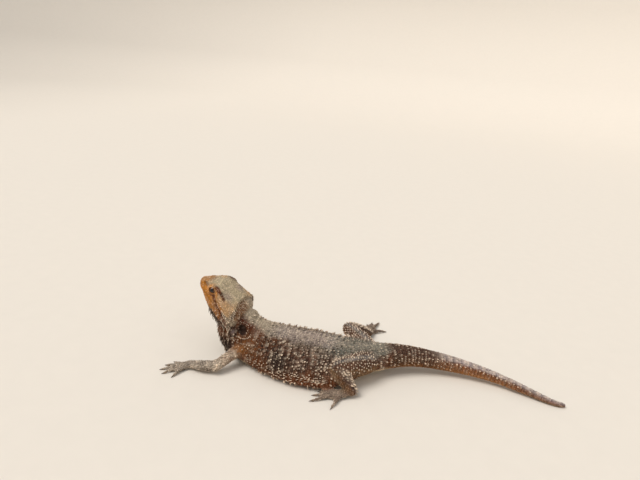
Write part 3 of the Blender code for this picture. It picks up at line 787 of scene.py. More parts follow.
class Coat:
    """Scales or spines gathered for one piece."""

    def __init__(self, seed):
        self.chance = np.random.default_rng(seed)
        self.blocks = []
        self.laid = 0

    def luck(self, count):
        """A number between -1 and 1 for each."""
        return self.chance.random((count, 1)) * 2 - 1

    def add(self, shape, roots, lie, length, width, height, tilt=0.0, tip=0.0, painted_root_shade=0.25, curve=0.0,
            spread=0.12, out=None, pick=slice(None)):
        """Lays a shape at the picked roots, which lie on the skin unless out is given.

        lie is the way the tips point, and tilt lifts them, in degrees. Numbers may be one for all or one for each.
        """
        numbers = (length, width, height, tilt, tip, painted_root_shade)
        length, width, height, tilt, tip, painted_root_shade = (
            np.broadcast_to(np.asarray(v, dtype=float), len(roots))[pick][:, None] for v in numbers)
        roots, lie = roots[pick], lie[pick]
        count = len(roots)
        if not count:
            return
        places, skin_out, index = on_skin(roots)
        if out is None:
            out = skin_out
        else:
            places = roots
        size = 1 + spread * self.luck(count)
        turn = np.radians(self.chance.random((count, 1)) * 14 - 7)
        lie = unit(lie - out * (lie * out).sum(axis=1, keepdims=True))
        across = np.cross(out, lie)
        lie, across = lie * np.cos(turn) + across * np.sin(turn), across * np.cos(turn) - lie * np.sin(turn)
        tilt = np.radians(tilt) * (1 + 0.25 * self.luck(count))
        ahead, up = lie * np.cos(tilt) + out * np.sin(tilt), out * np.cos(tilt) - lie * np.sin(tilt)
        length, width, height = ((v * size)[:, None] for v in (length, width, height))
        points, faces = shape
        x, y, z = (points[None, :, k, None] for k in range(3))
        made = places[:, None] + ahead[:, None] * x * length + across[:, None] * y * width
        made = made + up[:, None] * (z * height + curve * x * x * length)
        made[..., 2] = np.maximum(made[..., 2], 0.02)
        weights = BODY["fields"][index][:, None] * np.ones((1, len(points), 1))
        along = share(points[:, 0])
        pale, dark = COLOUR_FIELDS.index("pale"), COLOUR_FIELDS.index("dark")
        weights[..., pale] = share(weights[..., pale] + tip * rise(along, 0.25, 0.85))
        # painted shade: the dark weight rises towards each scale's and spine's root, where it lies under its
        # neighbours
        weights[..., dark] = share(weights[..., dark] * (1 - 0.6 * tip * along) + painted_root_shade * fall(along, 0.0, 0.6))
        shade = np.repeat(self.luck(count), len(points), axis=1)
        flat = BODY["flat"][index][:, None] + (points[None, :, :2] - (0.5, 0.0)) * PATCH
        firsts = np.arange(count) * len(points) + self.laid
        self.laid += count * len(points)
        self.blocks.append((made.reshape(-1, 3), (faces[None] + firsts[:, None, None]).reshape(-1, 3),
                            weights.reshape(-1, len(COLOUR_FIELDS)), shade.ravel(), flat.reshape(-1, 2)))

    def finish(self, name, material):
        """One joined piece of all that was gathered."""
        points, faces, weights, shade, flat = (np.concatenate(rows) for rows in zip(*self.blocks))
        piece = make_mesh(name, points, faces)
        mark_colours(piece, weights, shade)
        layer = piece.data.uv_layers.new(name="OFBake")
        layer.uv.foreach_set("vector", flat[faces.ravel()].astype(np.float32).ravel())
        piece.data.materials.append(material)
        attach(piece, "root")
        print(f"{name}: {len(faces)} triangles")


RING = 96  # places round one slice


def ring_at(route, stop, directions):
    """Where a slice across a route meets the skin, from the top round by the left, and the way along there."""
    along, up, left = directions
    k = int(np.clip(round(stop), 0, len(route) - 1))
    found = []
    for step in range(RING):
        turn = 2 * pi * step / RING
        way = up[k] * cos(turn) + left[k] * sin(turn)
        hit = BODY["tree"].ray_cast(route[k].tolist(), way.tolist())[0]
        found.append(hit[:] if hit else (route[k] + way).tolist())
    return np.array(found), along[k]


def spaced(ring, pitch, offset):
    """Even places round a closed ring, and their angles as shares of a turn."""
    closed = np.concatenate([ring, ring[:1]])
    lengths = lengths_along(closed)
    count = max(int(round(lengths[-1] / pitch)), 6)
    stops = ((np.arange(count) + offset) / count * lengths[-1]) % lengths[-1]
    return places_at(stops, lengths, closed), np.interp(stops, lengths, np.arange(RING + 1) / RING)


def rows_over(members, start, end, pitch, across):
    """Brick rows over the members of the spine: place, way back, distance along, turn from the top, row."""
    route = BODY["routes"]["spine"]
    directions = facing(route)
    laid = []
    stop, row = start, 0
    while stop < end:
        ring, along = ring_at(route, stop, directions)
        places, turn = spaced(ring, across(stop, row), 0.5 * (row % 2))
        turn = np.abs(np.degrees(((turn + 0.5) % 1.0 - 0.5) * 2 * pi))
        count = len(places)
        laid.append((places, np.repeat(along[None], count, axis=0), np.full(count, stop), turn, np.full(count, row)))
        stop += pitch(stop)
        row += 1
    laid = [np.concatenate(rows) for rows in zip(*laid)]
    keep = skin_of(*members)[on_skin(laid[0])[2]]
    return [rows[keep] for rows in laid]


def scattered(chosen, spacing, seed):
    """Skin places at least spacing apart, picked in an order that is always the same, and their spacing."""
    spacing = np.broadcast_to(spacing, len(chosen))
    faces = BODY["faces"][chosen[BODY["faces"]].all(axis=1)]
    spots = np.concatenate([BODY["points"][faces].mean(axis=1), BODY["points"][chosen]])
    gaps = np.concatenate([spacing[faces].mean(axis=1), spacing[chosen]])
    order = np.random.default_rng(seed).permutation(len(spots))
    keys = np.floor(spots / gaps.max()).astype(int).tolist()
    listed, spans = spots.tolist(), gaps.tolist()
    around = [(a, b, c) for a in (-1, 0, 1) for b in (-1, 0, 1) for c in (-1, 0, 1)]
    grid, kept = {}, []
    for k in order.tolist():
        x, y, z = listed[k]
        limit = spans[k] ** 2
        i, j, l = keys[k]
        near = (p for a, b, c in around for p in grid.get((i + a, j + b, l + c), ()))
        if all((x - p[0]) ** 2 + (y - p[1]) ** 2 + (z - p[2]) ** 2 > limit for p in near):
            grid.setdefault((i, j, l), []).append((x, y, z))
            kept.append(k)
    return spots[kept], gaps[kept]


def clear_of(spots, taken, distance):
    """Marks the spots that are further than distance from every taken one."""
    near = KDTree(len(taken))
    for k, place in enumerate(taken.tolist()):
        near.insert(place, k)
    near.balance()
    return np.array([near.find(p)[2] for p in spots.tolist()]) > distance


def down_the(name, roots):
    """The way along a route at places on the skin, and their turn round it in degrees."""
    route = BODY["routes"][name]
    _, _, index = on_skin(roots)
    stops = np.clip(BODY["along"][index].round().astype(int), 0, len(route) - 1)
    return facing(route)[0][stops], np.abs(np.degrees(BODY["angle"][index]))


# ---------------------------------------------------------------- finishes
def new_material(name, roughness=0.6, specular=0.4):
    made = bpy.data.materials.new(name)
    made.use_nodes = True
    shader = made.node_tree.nodes["Principled BSDF"]
    shader.inputs["Roughness"].default_value = roughness
    shader.inputs["Specular IOR Level"].default_value = specular
    return made, made.node_tree, shader


def texture(tree, kind, scale, detail=3.0):
    """A solid texture in the object's own metres."""
    place = tree.nodes.new("ShaderNodeTexCoord")
    made = tree.nodes.new(kind)
    made.inputs["Scale"].default_value = scale
    if "Detail" in made.inputs:
        made.inputs["Detail"].default_value = detail
    tree.links.new(place.outputs["Object"], made.inputs["Vector"])
    return made


def span(tree, value, low, high, source=(0.0, 1.0)):
    made = tree.nodes.new("ShaderNodeMapRange")
    tree.links.new(value, made.inputs["Value"])
    for socket, number in zip(("From Min", "From Max", "To Min", "To Max"), (*source, low, high)):
        made.inputs[socket].default_value = number
    return made.outputs["Result"]


def blend(tree, factor, under, over):
    """Lays one colour over another; each is a socket or a plain colour."""
    made = tree.nodes.new("ShaderNodeMix")
    made.data_type = "RGBA"
    tree.links.new(factor, made.inputs[0])
    for socket, colour in ((made.inputs[6], under), (made.inputs[7], over)):
        if isinstance(colour, bpy.types.NodeSocket):
            tree.links.new(colour, socket)
        else:
            socket.default_value = (*colour, 1.0)
    return made.outputs[2]


def attribute(tree, name):
    made = tree.nodes.new("ShaderNodeAttribute")
    made.attribute_name = name
    return made.outputs["Fac"]


def bumped(tree, shader, height, strength, distance):
    made = tree.nodes.new("ShaderNodeBump")
    made.inputs["Strength"].default_value = strength
    made.inputs["Distance"].default_value = distance
    tree.links.new(height, made.inputs["Height"])
    tree.links.new(made.outputs["Normal"], shader.inputs["Normal"])


def scaly_finish(name, colours, pebbled):
    """The skin's finish: every marking's colour laid over the last by its own weight."""
    made, tree, shader = new_material(name, specular=0.2)
    colour = tuple(colours.base)
    for field in COLOUR_FIELDS:
        colour = blend(tree, attribute(tree, field), colour, tuple(getattr(colours, field)))
    grain = texture(tree, "ShaderNodeTexNoise", 520.0, 4.0)
    brightness = tree.nodes.new("ShaderNodeMath")
    brightness.operation = "MULTIPLY"
    tree.links.new(span(tree, grain.outputs["Fac"], 0.72, 1.28, (0.3, 0.7)), brightness.inputs[0])
    tree.links.new(span(tree, attribute(tree, "shade"), 0.7, 1.28, (-1.0, 1.0)), brightness.inputs[1])
    tone = tree.nodes.new("ShaderNodeHueSaturation")
    tree.links.new(colour, tone.inputs["Color"])
    tree.links.new(brightness.outputs[0], tone.inputs["Value"])
    tree.links.new(tone.outputs["Color"], shader.inputs["Base Color"])
    tree.links.new(span(tree, grain.outputs["Fac"], 0.5, 0.78, (0.3, 0.7)), shader.inputs["Roughness"])
    if pebbled:
        pebbles = texture(tree, "ShaderNodeTexVoronoi", 1100.0)
        bumped(tree, shader, pebbles.outputs["Distance"], 0.7, 0.0003)
    else:
        bumped(tree, shader, texture(tree, "ShaderNodeTexNoise", 2600.0, 2.0).outputs["Fac"], 0.45, 0.00012)
    return made


def eye_finish(colours):
    made, tree, shader = new_material("wet_eye", roughness=0.08, specular=0.35)
    shader.inputs["Coat Weight"].default_value = 0.4
    shader.inputs["Coat Roughness"].default_value = 0.03
    ring = attribute(tree, "from_pupil")
    streaks = texture(tree, "ShaderNodeTexNoise", 1900.0, 4.0)
    iris = blend(tree, span(tree, streaks.outputs["Fac"], 0.0, 1.0, (0.35, 0.65)), tuple(colours.iris),
                 (0.02, 0.008, 0.003))
    inner = blend(tree, span(tree, ring, 0.0, 1.0, (0.34, 0.37)), (0.002, 0.0015, 0.001), iris)
    outer = blend(tree, span(tree, ring, 0.0, 1.0, (0.56, 0.66)), inner, (0.012, 0.006, 0.003))
    tree.links.new(outer, shader.inputs["Base Color"])
    bumped(tree, shader, streaks.outputs["Fac"], 0.05, 0.0001)
    return made


def claw_finish(colours):
    made, tree, shader = new_material("claw_horn", specular=0.5)
    along = attribute(tree, "to_tip")
    grain = texture(tree, "ShaderNodeTexNoise", 1500.0, 3.0)
    horn = blend(tree, span(tree, along, 0.0, 1.0, (0.15, 0.9)), (0.30, 0.22, 0.15), tuple(colours.claw))
    streaked = blend(tree, span(tree, grain.outputs["Fac"], 0.0, 0.5, (0.4, 0.7)), horn, (0.02, 0.013, 0.01))
    tree.links.new(streaked, shader.inputs["Base Color"])
    tree.links.new(span(tree, grain.outputs["Fac"], 0.25, 0.45), shader.inputs["Roughness"])
    bumped(tree, shader, grain.outputs["Fac"], 0.25, 0.0001)
    return made


# ---------------------------------------------------------------- eyes, lids and claws
def eye_axes(side):
    """The eye's middle, and its gaze, forward and upward directions, all in the body's own coordinates."""
    turn = head_turn()
    gaze = unit(np.array((0.0, side * 0.93, 0.34)))
    forward = unit(np.array((1.0, 0, 0)) - gaze * gaze[0])
    upward = np.cross(gaze, forward) * side
    middle = from_head((EYE_IN_HEAD.x, side * EYE_IN_HEAD.y, EYE_IN_HEAD.z))
    return middle, turn @ gaze, turn @ forward, turn @ upward


def aim(axes, polar, turn):
    """The direction at an angle from the gaze and a turn round it."""
    _, gaze, forward, upward = axes
    return gaze * np.cos(polar)[..., None] + np.sin(polar)[..., None] * (
        forward * np.cos(turn)[..., None] + upward * np.sin(turn)[..., None])


def make_eye(name, side, material):
    axes = eye_axes(side)
    rows, columns = 40, 56
    polar = np.linspace(0.001, pi - 0.001, rows)[:, None] * np.ones((1, columns))
    turn = np.linspace(0, 2 * pi, columns, endpoint=False)[None] * np.ones((rows, 1))
    radius = EYE_RADIUS - 0.22 + 0.3 * hump(np.degrees(polar), 32)
    points = (axes[0] + aim(axes, polar, turn) * radius[..., None]).reshape(-1, 3)
    piece = make_mesh(f"eyeball_{name}", points, outward(points, grid_faces(rows, columns), axes[0]))
    mark(piece, "from_pupil", polar.ravel())
    piece.data.materials.append(material)
    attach(piece, "root")
    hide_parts(f"eye_{name}")


def lid_edge(turn):
    """How far from the gaze the lids' edge lies, in radians: a level almond."""
    wide, high = radians(41), radians(27) + radians(3) * (np.sin(turn) < 0)
    return 1 / np.sqrt((np.cos(turn) / wide) ** 2 + (np.sin(turn) / high) ** 2)


def make_lids(name, side, material, lashes):
    """Both lids of one eye, from under their edge out to the skin, and four rings of small scales over them."""
    axes = eye_axes(side)
    turn = np.linspace(0, 2 * pi, 72, endpoint=False)
    edge, reach = lid_edge(turn), np.full_like(turn, radians(80))

    def ring(polar, radius):
        return axes[0] + aim(axes, polar, turn) * radius

    under, inner = ring(edge + 0.05, EYE_RADIUS - 0.3), ring(edge - 0.02, EYE_RADIUS + 0.12)
    rim = ring(edge, EYE_RADIUS + 0.42)
    seat, out, index = on_skin(ring(reach, 6.3))
    seat = seat - out * 0.25
    rows = [under, inner, rim]
    steps = 10
    for k in range(1, steps + 1):
        t = k / steps
        ridge = 0.62 * 4 * t * (1 - t) * (1 - 0.4 * t) + 0.13 * sin(t * 6 * pi) * (1 - t)
        rows.append(rim * (1 - t) + seat * t + aim(axes, edge + (reach - edge) * t, turn) * ridge)
    points = np.concatenate(rows)
    piece = make_mesh(f"eyelids_{name}", points, outward(points, grid_faces(len(rows), len(turn)), axes[0]))
    from_edge = np.repeat(np.linspace(0, 1, len(rows)), len(turn))
    gold, rust, dark = (COLOUR_FIELDS.index(n) for n in ("gold", "rust", "dark"))
    near = fall(from_edge, 0.5, 1.0)
    weights = np.tile(BODY["fields"][index], (len(rows), 1)) * (1 - near[:, None])
    weights[:, gold] += 0.75 * near
    # painted shadow: the rear half of the lids is painted redder, under the brow's rear end
    weights[:, rust] += near * (0.35 + 0.3 * np.tile(np.cos(turn) < -0.2, len(rows)))
    weights[:, dark] += 0.9 * fall(from_edge, 0.08, 0.26)
    mark_colours(piece, share(weights), 0.0)
    piece.data.materials.append(material)
    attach(piece, "root")
    for row, size, lift in ((3, 0.62, 0.0), (5, 0.8, 0.0), (7, 0.95, 0.1), (9, 1.1, 0.1)):
        spots = np.linspace(0, len(turn), 26 + row * 2, endpoint=False).astype(int)
        places = rows[row][spots]
        lie = unit(places - rows[row - 1][spots])
        lashes.add(scale_shape(), places - lie * size * 0.4, lie, size * 1.25, size, size * (0.42 + lift), 8.0,
                   0.3, 0.2, out=unit(places - axes[0]))


def make_claw(name, material):
    """A curved, pointed claw over the solid one, with its root inside the toe."""
    points, _ = read_node(name)
    part, side = name.split("_")[:2]
    middle = points.mean(axis=0)
    along = long_axis(points, middle - np.array(box_middle(f"{part}_{side}")))
    reach = (points - middle) @ along
    low, high = reach.min(), reach.max()
    middles = [points[np.abs(reach - s) < (high - low) / 5].mean(axis=0) for s in np.linspace(low, high, 4)]
    path = np.array([middles[0] - along * 1.3, *middles])
    path = evenly(smoothed_route(evenly(path, 0.3), 3), 0.42)
    _, up, left = facing(path)
    to_tip = np.linspace(0, 1, len(path))
    radius = 1.05 * (1 - to_tip) ** 0.75 + 0.04
    turn = np.linspace(0, 2 * pi, 10, endpoint=False)[:, None]
    rows = [path[k] + radius[k] * (left[k] * 0.72 * np.cos(turn) + up[k] * 1.1 * np.sin(turn))
            for k in range(len(path))]
    made = np.concatenate(rows)
    made[:, 2] = np.maximum(made[:, 2], 0.05)
    faces = outward(made, grid_faces(len(rows), len(turn)), made.mean(axis=0))
    piece = make_mesh(f"curved_{name}", made, faces)
    mark(piece, "to_tip", np.repeat(to_tip, len(turn)))
    piece.data.materials.append(material)
    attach(piece, "root")
    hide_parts(name)


# ---------------------------------------------------------------- the coat, region by region
def cover_trunk(coat_sizes, material):
    """Neck and trunk: small keeled scales, with a row of larger pale-tipped ones every third row."""
    scale = scale_shape()
    pitch, size = coat_sizes.row_pitch / MM, coat_sizes.back_scale / MM
    laid = rows_over(("neck", "trunk"), 2.0, 158.0, lambda stop: pitch,
                     lambda stop, row: pitch * (1.6 if row % 3 == 0 else 1.0))
    open_skin = clear_of_pits(mirror(head_local(laid[0])))
    places, ways, stops, turn, rows = (v[open_skin] for v in laid)
    every_third = rows % 3
    chance = np.random.default_rng(3)
    sway = (chance.random((len(places), 1)) - 0.5) * pitch
    places = places + ways * sway * (0.35 + 0.55 * (every_third[:, None] == 0))
    luck = chance.random(len(rows))
    belly = turn > 116
    large = ~belly & ((every_third == 0) & (luck < 0.8) | (every_third == 1) & (luck < 0.14))
    # painted shade: in the row just behind each row of large raised scales, some scales are made dark all over, where
    # those scales would shade them
    shaded_row = (every_third == 1) & ~large & (luck > 0.45) & (turn > 10) & (turn < 82) & (stops > 40)
    small = ~large & ~belly & ~shaded_row
    bare = skin_of("neck", "trunk", "tail_base") & clear_of_pits(mirror(BODY["local"])) & (BODY["along"] < 165)
    between, _ = scattered(bare, size * 0.72, 12)
    between = between[clear_of(between, places, size * 0.58)]
    back, _ = down_the("spine", between)
    coat = Coat(11)
    coat.add(scale, between - back * size * 0.3, back, size, size * 0.85, size * 0.26, 7.0,
             0.16 * chance.random(len(between)), 0.45)
    flank = rise(turn, 35, 75)
    coat.add(scale, places, ways, size, size * 0.85, size * 0.26, 7.0,
             (0.22 * chance.random(len(rows)) + 0.08) * (1 - 0.6 * flank), 0.4 + 0.25 * flank, pick=small)
    # the row of painted shade: dark instead of pale tips, and a strong painted root shade
    coat.add(scale, places, ways, size * 1.1, size * 0.9, size * 0.24, 6.0, -0.7, 1.3, pick=shaded_row)
    coat.add(scale, places, ways, size * 1.15, size * 1.05, size * 0.14, 3.0, 0.0, 0.12, pick=belly)
    bold = (0.5 + 0.4 * flank) * (0.3 + 0.9 * chance.random(len(rows))) * (1 - 0.3 * fall(stops, 40, 60) * flank)
    reach = size * (1.15 + 0.3 * flank) * (0.75 + 0.45 * chance.random(len(rows)))
    coat.add(scale, places, ways, reach, size * 0.85, size * (0.34 + 0.14 * flank), 9 + 25 * flank, share(bold), 0.45,
             pick=large)
    coat.finish("scales_of_the_trunk", material)


def fringe_places():
    """Places along each flank's widest line, from behind the arm to the groin, and the ways back and out there."""
    route = BODY["routes"]["spine"]
    directions = facing(route)
    for stop in np.arange(34.0, 138.0, 1.1):
        ring, along = ring_at(route, stop, directions)
        for _, sign in SIDES:
            out = directions[2][int(round(stop))] * sign
            yield ring[(ring @ out).argmax()], along, out, stop


def cover_flanks(coat_sizes, material):
    """The spiny fringe along each flank, in three uneven rows."""
    coat = Coat(12)
    spine = spine_shape()
    length = coat_sizes.fringe_spine / MM
    up = np.array((0, 0, 1.0))
    chance = np.random.default_rng(5)
    for number, (place, along, out, stop) in enumerate(fringe_places()):
        level = (number // 2) % 3
        root = place + up * (0.4, 3.0, 5.6)[level] + along * (chance.random() - 0.5) * 1.6
        _, _, index = on_skin([root])
        if not skin_of("trunk", "neck")[index[0]]:
            continue
        lie = unit(along * 0.85 + out * 0.2 + up * (0.35 + 0.3 * chance.random()))
        reach = length * (0.95, 0.72, 0.5)[level] * (0.75 + 0.25 * sin(pi * (stop - 30) / 110))
        coat.add(spine, root[None], lie[None], reach, 1.3, 1.1, 26 + 6 * level, 1.0, 0.3, -0.06, 0.2)
    coat.finish("spines_of_the_flanks", material)


def cover_tail(coat_sizes, material):
    """Whorls of keeled scales that shrink towards the tip, with pale specks along the sides."""
    scale, size = scale_shape(), coat_sizes.tail_scale / MM

    def sized(stop):
        return size * (1.0 - 0.5 * np.clip((stop - 150) / 190, 0, 1))

    places, ways, stops, turn, rows = rows_over(TAIL, 148.0, len(BODY["routes"]["spine"]) - 1.0,
                                                lambda stop: 0.8 * sized(stop), lambda stop, row: 0.74 * sized(stop))
    here = sized(stops)
    chance = np.random.default_rng(7)
    luck = chance.random(len(rows))
    root = fall(stops, 195, 225)
    specks = (luck < 0.3 + 0.25 * root) & (rows % 2 == 0) & (turn < 112) & (turn > 40 * (1 - root))
    line = (rows % 3 == 0) & (np.abs(turn - 56) < 9) & (stops > 205) & (stops < 300) & (luck < 0.75)
    large = specks & (stops < 225) | line
    coat = Coat(13)
    coat.add(scale, places, ways, here * 1.15, here * 0.8, here * 0.25, 7.0,
             (0.05 + 0.25 * luck) * (1 - 0.6 * root), 0.3 + 0.15 * root, pick=~large)
    erect = (12 + 14 * rise(turn, 40, 90)) * (1 - 0.6 * rise(stops, 170, 235))
    coat.add(scale, places, ways, here * 1.3, here * 0.82, here * 0.38, erect,
             np.maximum(0.4 + 0.5 * chance.random(len(rows)), 1.0 * line), 0.35, pick=large)
    coat.finish("scales_of_the_tail", material)


# Pale spiny scales of the legs: down to which turn in degrees, their spacing, how much wider it is low on the
# side, their length and the strength of their pale tips.
SPINY = {
    "thigh": (105, 1.15, 0.3, 1.0, 1.0),
    "shank": (34, 0.9, 0.0, 1.35, 1.0),
    "upper_arm": (100, 1.8, 0.0, 1.0, 0.6),
}


def cover_legs(coat_sizes, material):
    """Keeled scales down each leg, with pale spiny ones on thigh, shank and upper arm."""
    coat = Coat(14)
    scale, size = scale_shape(), coat_sizes.leg_scale / MM
    turn = np.abs(np.degrees(BODY["angle"]))
    for place, name in enumerate(LIMBS):
        chosen = skin_of(name)
        chance = np.random.default_rng(60 + place)
        roots, _ = scattered(chosen, size * 0.74, 50 + place)
        part, _ = name.rsplit("_", 1)
        if part in SPINY:
            lowest, spacing, wider, long, bold = SPINY[part]
            spacing = size * (spacing + wider * rise(turn, 60, 90))
            taken, _ = scattered(chosen & (turn < lowest), spacing, 70 + place)
            taken = taken[chance.random(len(taken)) < 0.88]
            ways, turns = down_the(name, taken)
            reach = size * (1.1 + 0.25 * chance.random(len(taken))) * long
            tip = (0.7 + 0.3 * chance.random(len(taken))) * bold
            coat.add(scale, taken - ways * size * 0.4, ways, reach, size * (0.86 + 0.08 * fall(turns, 40, 75)),
                     size * 0.5, 20.0, tip, 0.55)
            roots = roots[clear_of(roots, taken, size * 0.5)]
        ways, _ = down_the(name, roots)
        coat.add(scale, roots - ways * size * 0.4, ways, size * 1.15, size * 0.85, size * 0.28, 8.0,
                 0.22 * chance.random(len(roots)), 0.35)
    coat.finish("scales_of_the_legs", material)


def cover_feet(coat_sizes, material):
    """Small scales that run out along the toes."""
    coat = Coat(15)
    scale, size = scale_shape(), coat_sizes.foot_scale / MM
    before = {after: part for part, after in NEXT_PART.items()}
    for place, name in enumerate(FEET):
        roots, _ = scattered(skin_of(name), size * 0.82, 30 + place)
        part, side = name.rsplit("_", 1)
        lie = unit((roots - np.array(box_middle(f"{before[part]}_{side}"))) * (1, 1, 0.3))
        coat.add(scale, roots - lie * size * 0.4, lie, size * 1.25, size, size * 0.32, 6.0, 0.22, 0.25)
    coat.finish("scales_of_the_feet", material)


def cover_head(coat_sizes, material):
    """Small plates over crown, snout and lips, and keeled scales on the cheeks, each pointing back."""
    coat = Coat(16)
    scale, plate, size = scale_shape(), plate_shape(), coat_sizes.head_scale / MM
    local, turn = BODY["local"], head_turn()
    mirrored = mirror(local)
    eye = from_place(mirrored, (EYE_IN_HEAD.x - 0.6, 12.6, EYE_IN_HEAD.z + 0.5))
    from_mouth = np.abs(mirrored[:, 2] - mouth_height(mirrored[:, 0]))
    snout = rise(local[:, 0], 34, 46)
    chosen = skin_of(*HEAD) & (eye > 4.4) & (from_place(mirrored, NOSTRIL) > 1.7) & clear_of_pits(mirrored)
    chosen &= (from_mouth > 2.0) | (mirrored[:, 0] < 11)
    lower = rise(-local[:, 2], 3, 12) * (1 - snout)
    spacing = size * (0.8 - 0.22 * hump(eye - 4.0, 3.0) - 0.12 * snout + 0.25 * lower)
    roots, gaps = scattered(chosen, spacing, 21)
    x, y, z = mirror(head_local(roots)).T
    side = np.sign(head_local(roots)[:, 1])
    lie = unit((turn @ np.stack([-np.ones(len(roots)), side * 0.25 * (y > 5), np.full(len(roots), -0.12)])).T)
    keeled = (x < 20) & (z < 0.5 - 0.05 * x) | (x < crown_edge(y)) | (z < mouth_height(x) - 5)
    chance = np.random.default_rng(22)
    vary = 0.85 + 0.35 * chance.random(len(roots))
    roots = roots - lie * gaps[:, None] * 0.5
    coat.add(plate, roots, lie, gaps * 1.12 * vary, gaps * 1.08 * vary, gaps * 0.3 * vary, 2.0,
             1.1 * vary - 0.95, 0.55, pick=~keeled)
    spiny = keeled & (x < 21) & (z > -20) & (chance.random(len(roots)) < 0.14 + 0.2 * hump(x + 1, 5))
    coat.add(scale, roots, lie, gaps * 1.3, gaps * 1.05, gaps * 0.32, 7.0, 0.8 * vary - 0.6, 0.4,
             pick=keeled & ~spiny)
    coat.add(scale, roots, lie, gaps * 1.45, gaps, gaps * 0.5, 24.0, 0.9, 0.5, pick=spiny)
    lips = np.arange(12.0, 49.0, 1.62)
    wide = np.interp(lips, (10, 22, 29, 35, 42, 47, 49), (19.2, 15.6, 13.2, 11.2, 8.6, 5.6, 3.5))
    for _, sign in SIDES:
        for above in (1.3, -1.35):
            spots = from_head(np.stack([lips, sign * wide, mouth_height(lips) + above], axis=1))
            lie = np.repeat((turn @ (-1.0, 0.1 * sign, 0))[None], len(spots), axis=0)
            coat.add(plate, spots, lie, 1.72, 1.35, 0.46, 1.0, 0.1, 0.4, spread=0.05)
    for name, sign in SIDES:
        make_lids(name, sign, material, coat)
    coat.finish("scales_of_the_head", material)


# Rows of spines on the head: places in head coordinates (left side), then spacing, length, width, tilt, pale tip,
# and the way the tips point (back, out, down).
SPINE_ROWS = (
    (((4.8, 0.5, 0.6), (3.6, 7.0, 0.2), (1.2, 13.4, -1.2)), 2.2, 2.3, 1.3, 18, 0.5, (1.0, 0.15, -0.1)),
    (((0.6, 1.5, -1.6), (-0.4, 8.0, -2.2), (-1.2, 12.0, -3.2)), 2.4, 1.9, 1.2, 26, 0.6, (1.0, 0.15, 0.0)),
    (((2.4, 15.4, -1.6), (0.4, 18.0, -4.6), (-1.6, 18.9, -8.5), (-2.8, 18.9, -12.0)),
     1.8, 3.4, 1.4, 32, 0.75, (1.0, 0.6, 0.1)),
    (((6.0, 17.2, -2.4), (3.4, 19.4, -6.0), (1.6, 20.0, -9.6)), 2.0, 2.5, 1.3, 34, 0.8, (1.0, 0.7, 0.1)),
    (((19.0, 16.4, -5.8), (12.5, 18.8, -7.4), (5.0, 20.0, -9.0)), 1.9, 2.3, 1.7, 32, 1.0, (1.0, 0.4, 0.3)),
    (((10.0, 19.2, -9.4), (5.0, 20.2, -10.8), (0.0, 20.0, -12.8)), 1.8, 2.5, 1.7, 36, 1.0, (1.0, 0.5, 0.3)),
    (((7.5, 19.0, -15.0), (2.0, 19.2, -18.5), (-2.5, 18.6, -22.0), (-5.0, 16.5, -26.0)),
     1.8, 3.6, 1.6, 42, 1.0, (0.9, 0.9, 0.4)),
    (((-3.6, 19.4, -15.4), (-3.0, 19.2, -19.5), (-4.6, 18.0, -24.0)), 1.7, 2.4, 1.7, 40, 1.0, (0.9, 0.8, 0.1)),
    (((6.0, 17.5, -20.0), (0.5, 17.0, -24.5), (-4.0, 14.5, -28.5)), 1.9, 4.4, 1.4, 40, 0.55, (0.9, 0.8, 0.5)),
    (((25.5, 10.6, -24.0), (20.0, 12.2, -26.2), (12.0, 14.4, -27.8), (4.0, 15.4, -28.2), (-4.0, 14.5, -28.0)),
     1.8, 3.6, 1.2, 50, 0.3, (0.7, 0.9, 0.75)),
    (((23.0, 12.0, -21.6), (14.0, 14.6, -24.0), (6.0, 16.4, -24.5)), 2.1, 2.6, 1.1, 46, 0.3, (0.8, 0.9, 0.6)),
    (((22.0, 7.8, -27.6), (14.0, 9.8, -30.6), (4.0, 10.5, -32.0), (-5.0, 9.0, -31.0)),
     2.0, 3.8, 1.2, 55, 0.3, (0.7, 0.5, 1.0)),
    (((-11.8, 20.0, -21.0), (-15.3, 20.2, -19.8), (-19.2, 19.9, -18.4), (-22.2, 17.9, -16.4), (-23.2, 15.0, -13.0)),
     1.5, 2.8, 1.5, 40, 1.0, (1.0, 0.5, -0.2)),
    (((-9.0, 13.6, -9.0), (-13.0, 11.4, -8.0), (-18.0, 10.6, -7.5)), 1.9, 2.0, 1.1, 34, 0.9, (1.0, 0.4, -0.2)),
    (((-14.0, 20.5, -25.0), (-20.0, 21.5, -23.0), (-26.0, 22.0, -19.0)), 2.2, 3.0, 1.2, 40, 0.85, (1.0, 0.5, -0.1)),
)
HEAD_SPINE = 0.004  # the setting at which the rows have the lengths above


def cover_with_spines(coat_sizes, material):
    """Spines round the head and the beard."""
    coat = Coat(17)
    spine = spine_shape()
    scale = coat_sizes.head_spine / HEAD_SPINE
    turn = head_turn()
    for line, spacing, length, width, tilt, tip, (back, out, down) in SPINE_ROWS:
        spots = evenly(line, spacing)
        for _, sign in SIDES:
            places = from_head(spots * (1, sign, 1))
            lie = np.repeat((turn @ (-back, sign * out, -down))[None], len(places), axis=0)
            coat.add(spine, places, unit(lie), length * scale, width, width * 0.9, tilt, tip, 0.35, -0.08, 0.22)
    local = BODY["local"]
    beard = skin_of(*HEAD, "neck") & (np.abs(local[:, 0]) < 24) & (local[:, 2] < -18)
    beard &= (BODY["normals"] @ (turn @ (0.2, 0, -1.0)) > 0.12) & (from_ear(mirror(local)) > 4.0)
    roots, _ = scattered(beard, 2.3, 41)
    x, y, _ = head_local(roots).T
    lie = (turn @ np.stack([-np.ones(len(roots)), 0.06 * y, -0.55 * np.ones(len(roots))])).T
    coat.add(spine, roots, unit(lie), scale * (1.7 + 2.0 * fall(x, -4, 24)), 1.15, 1.0, 30.0, 0.3, 0.3, -0.08, 0.25)
    coat.finish("spines_of_the_head_and_beard", material)


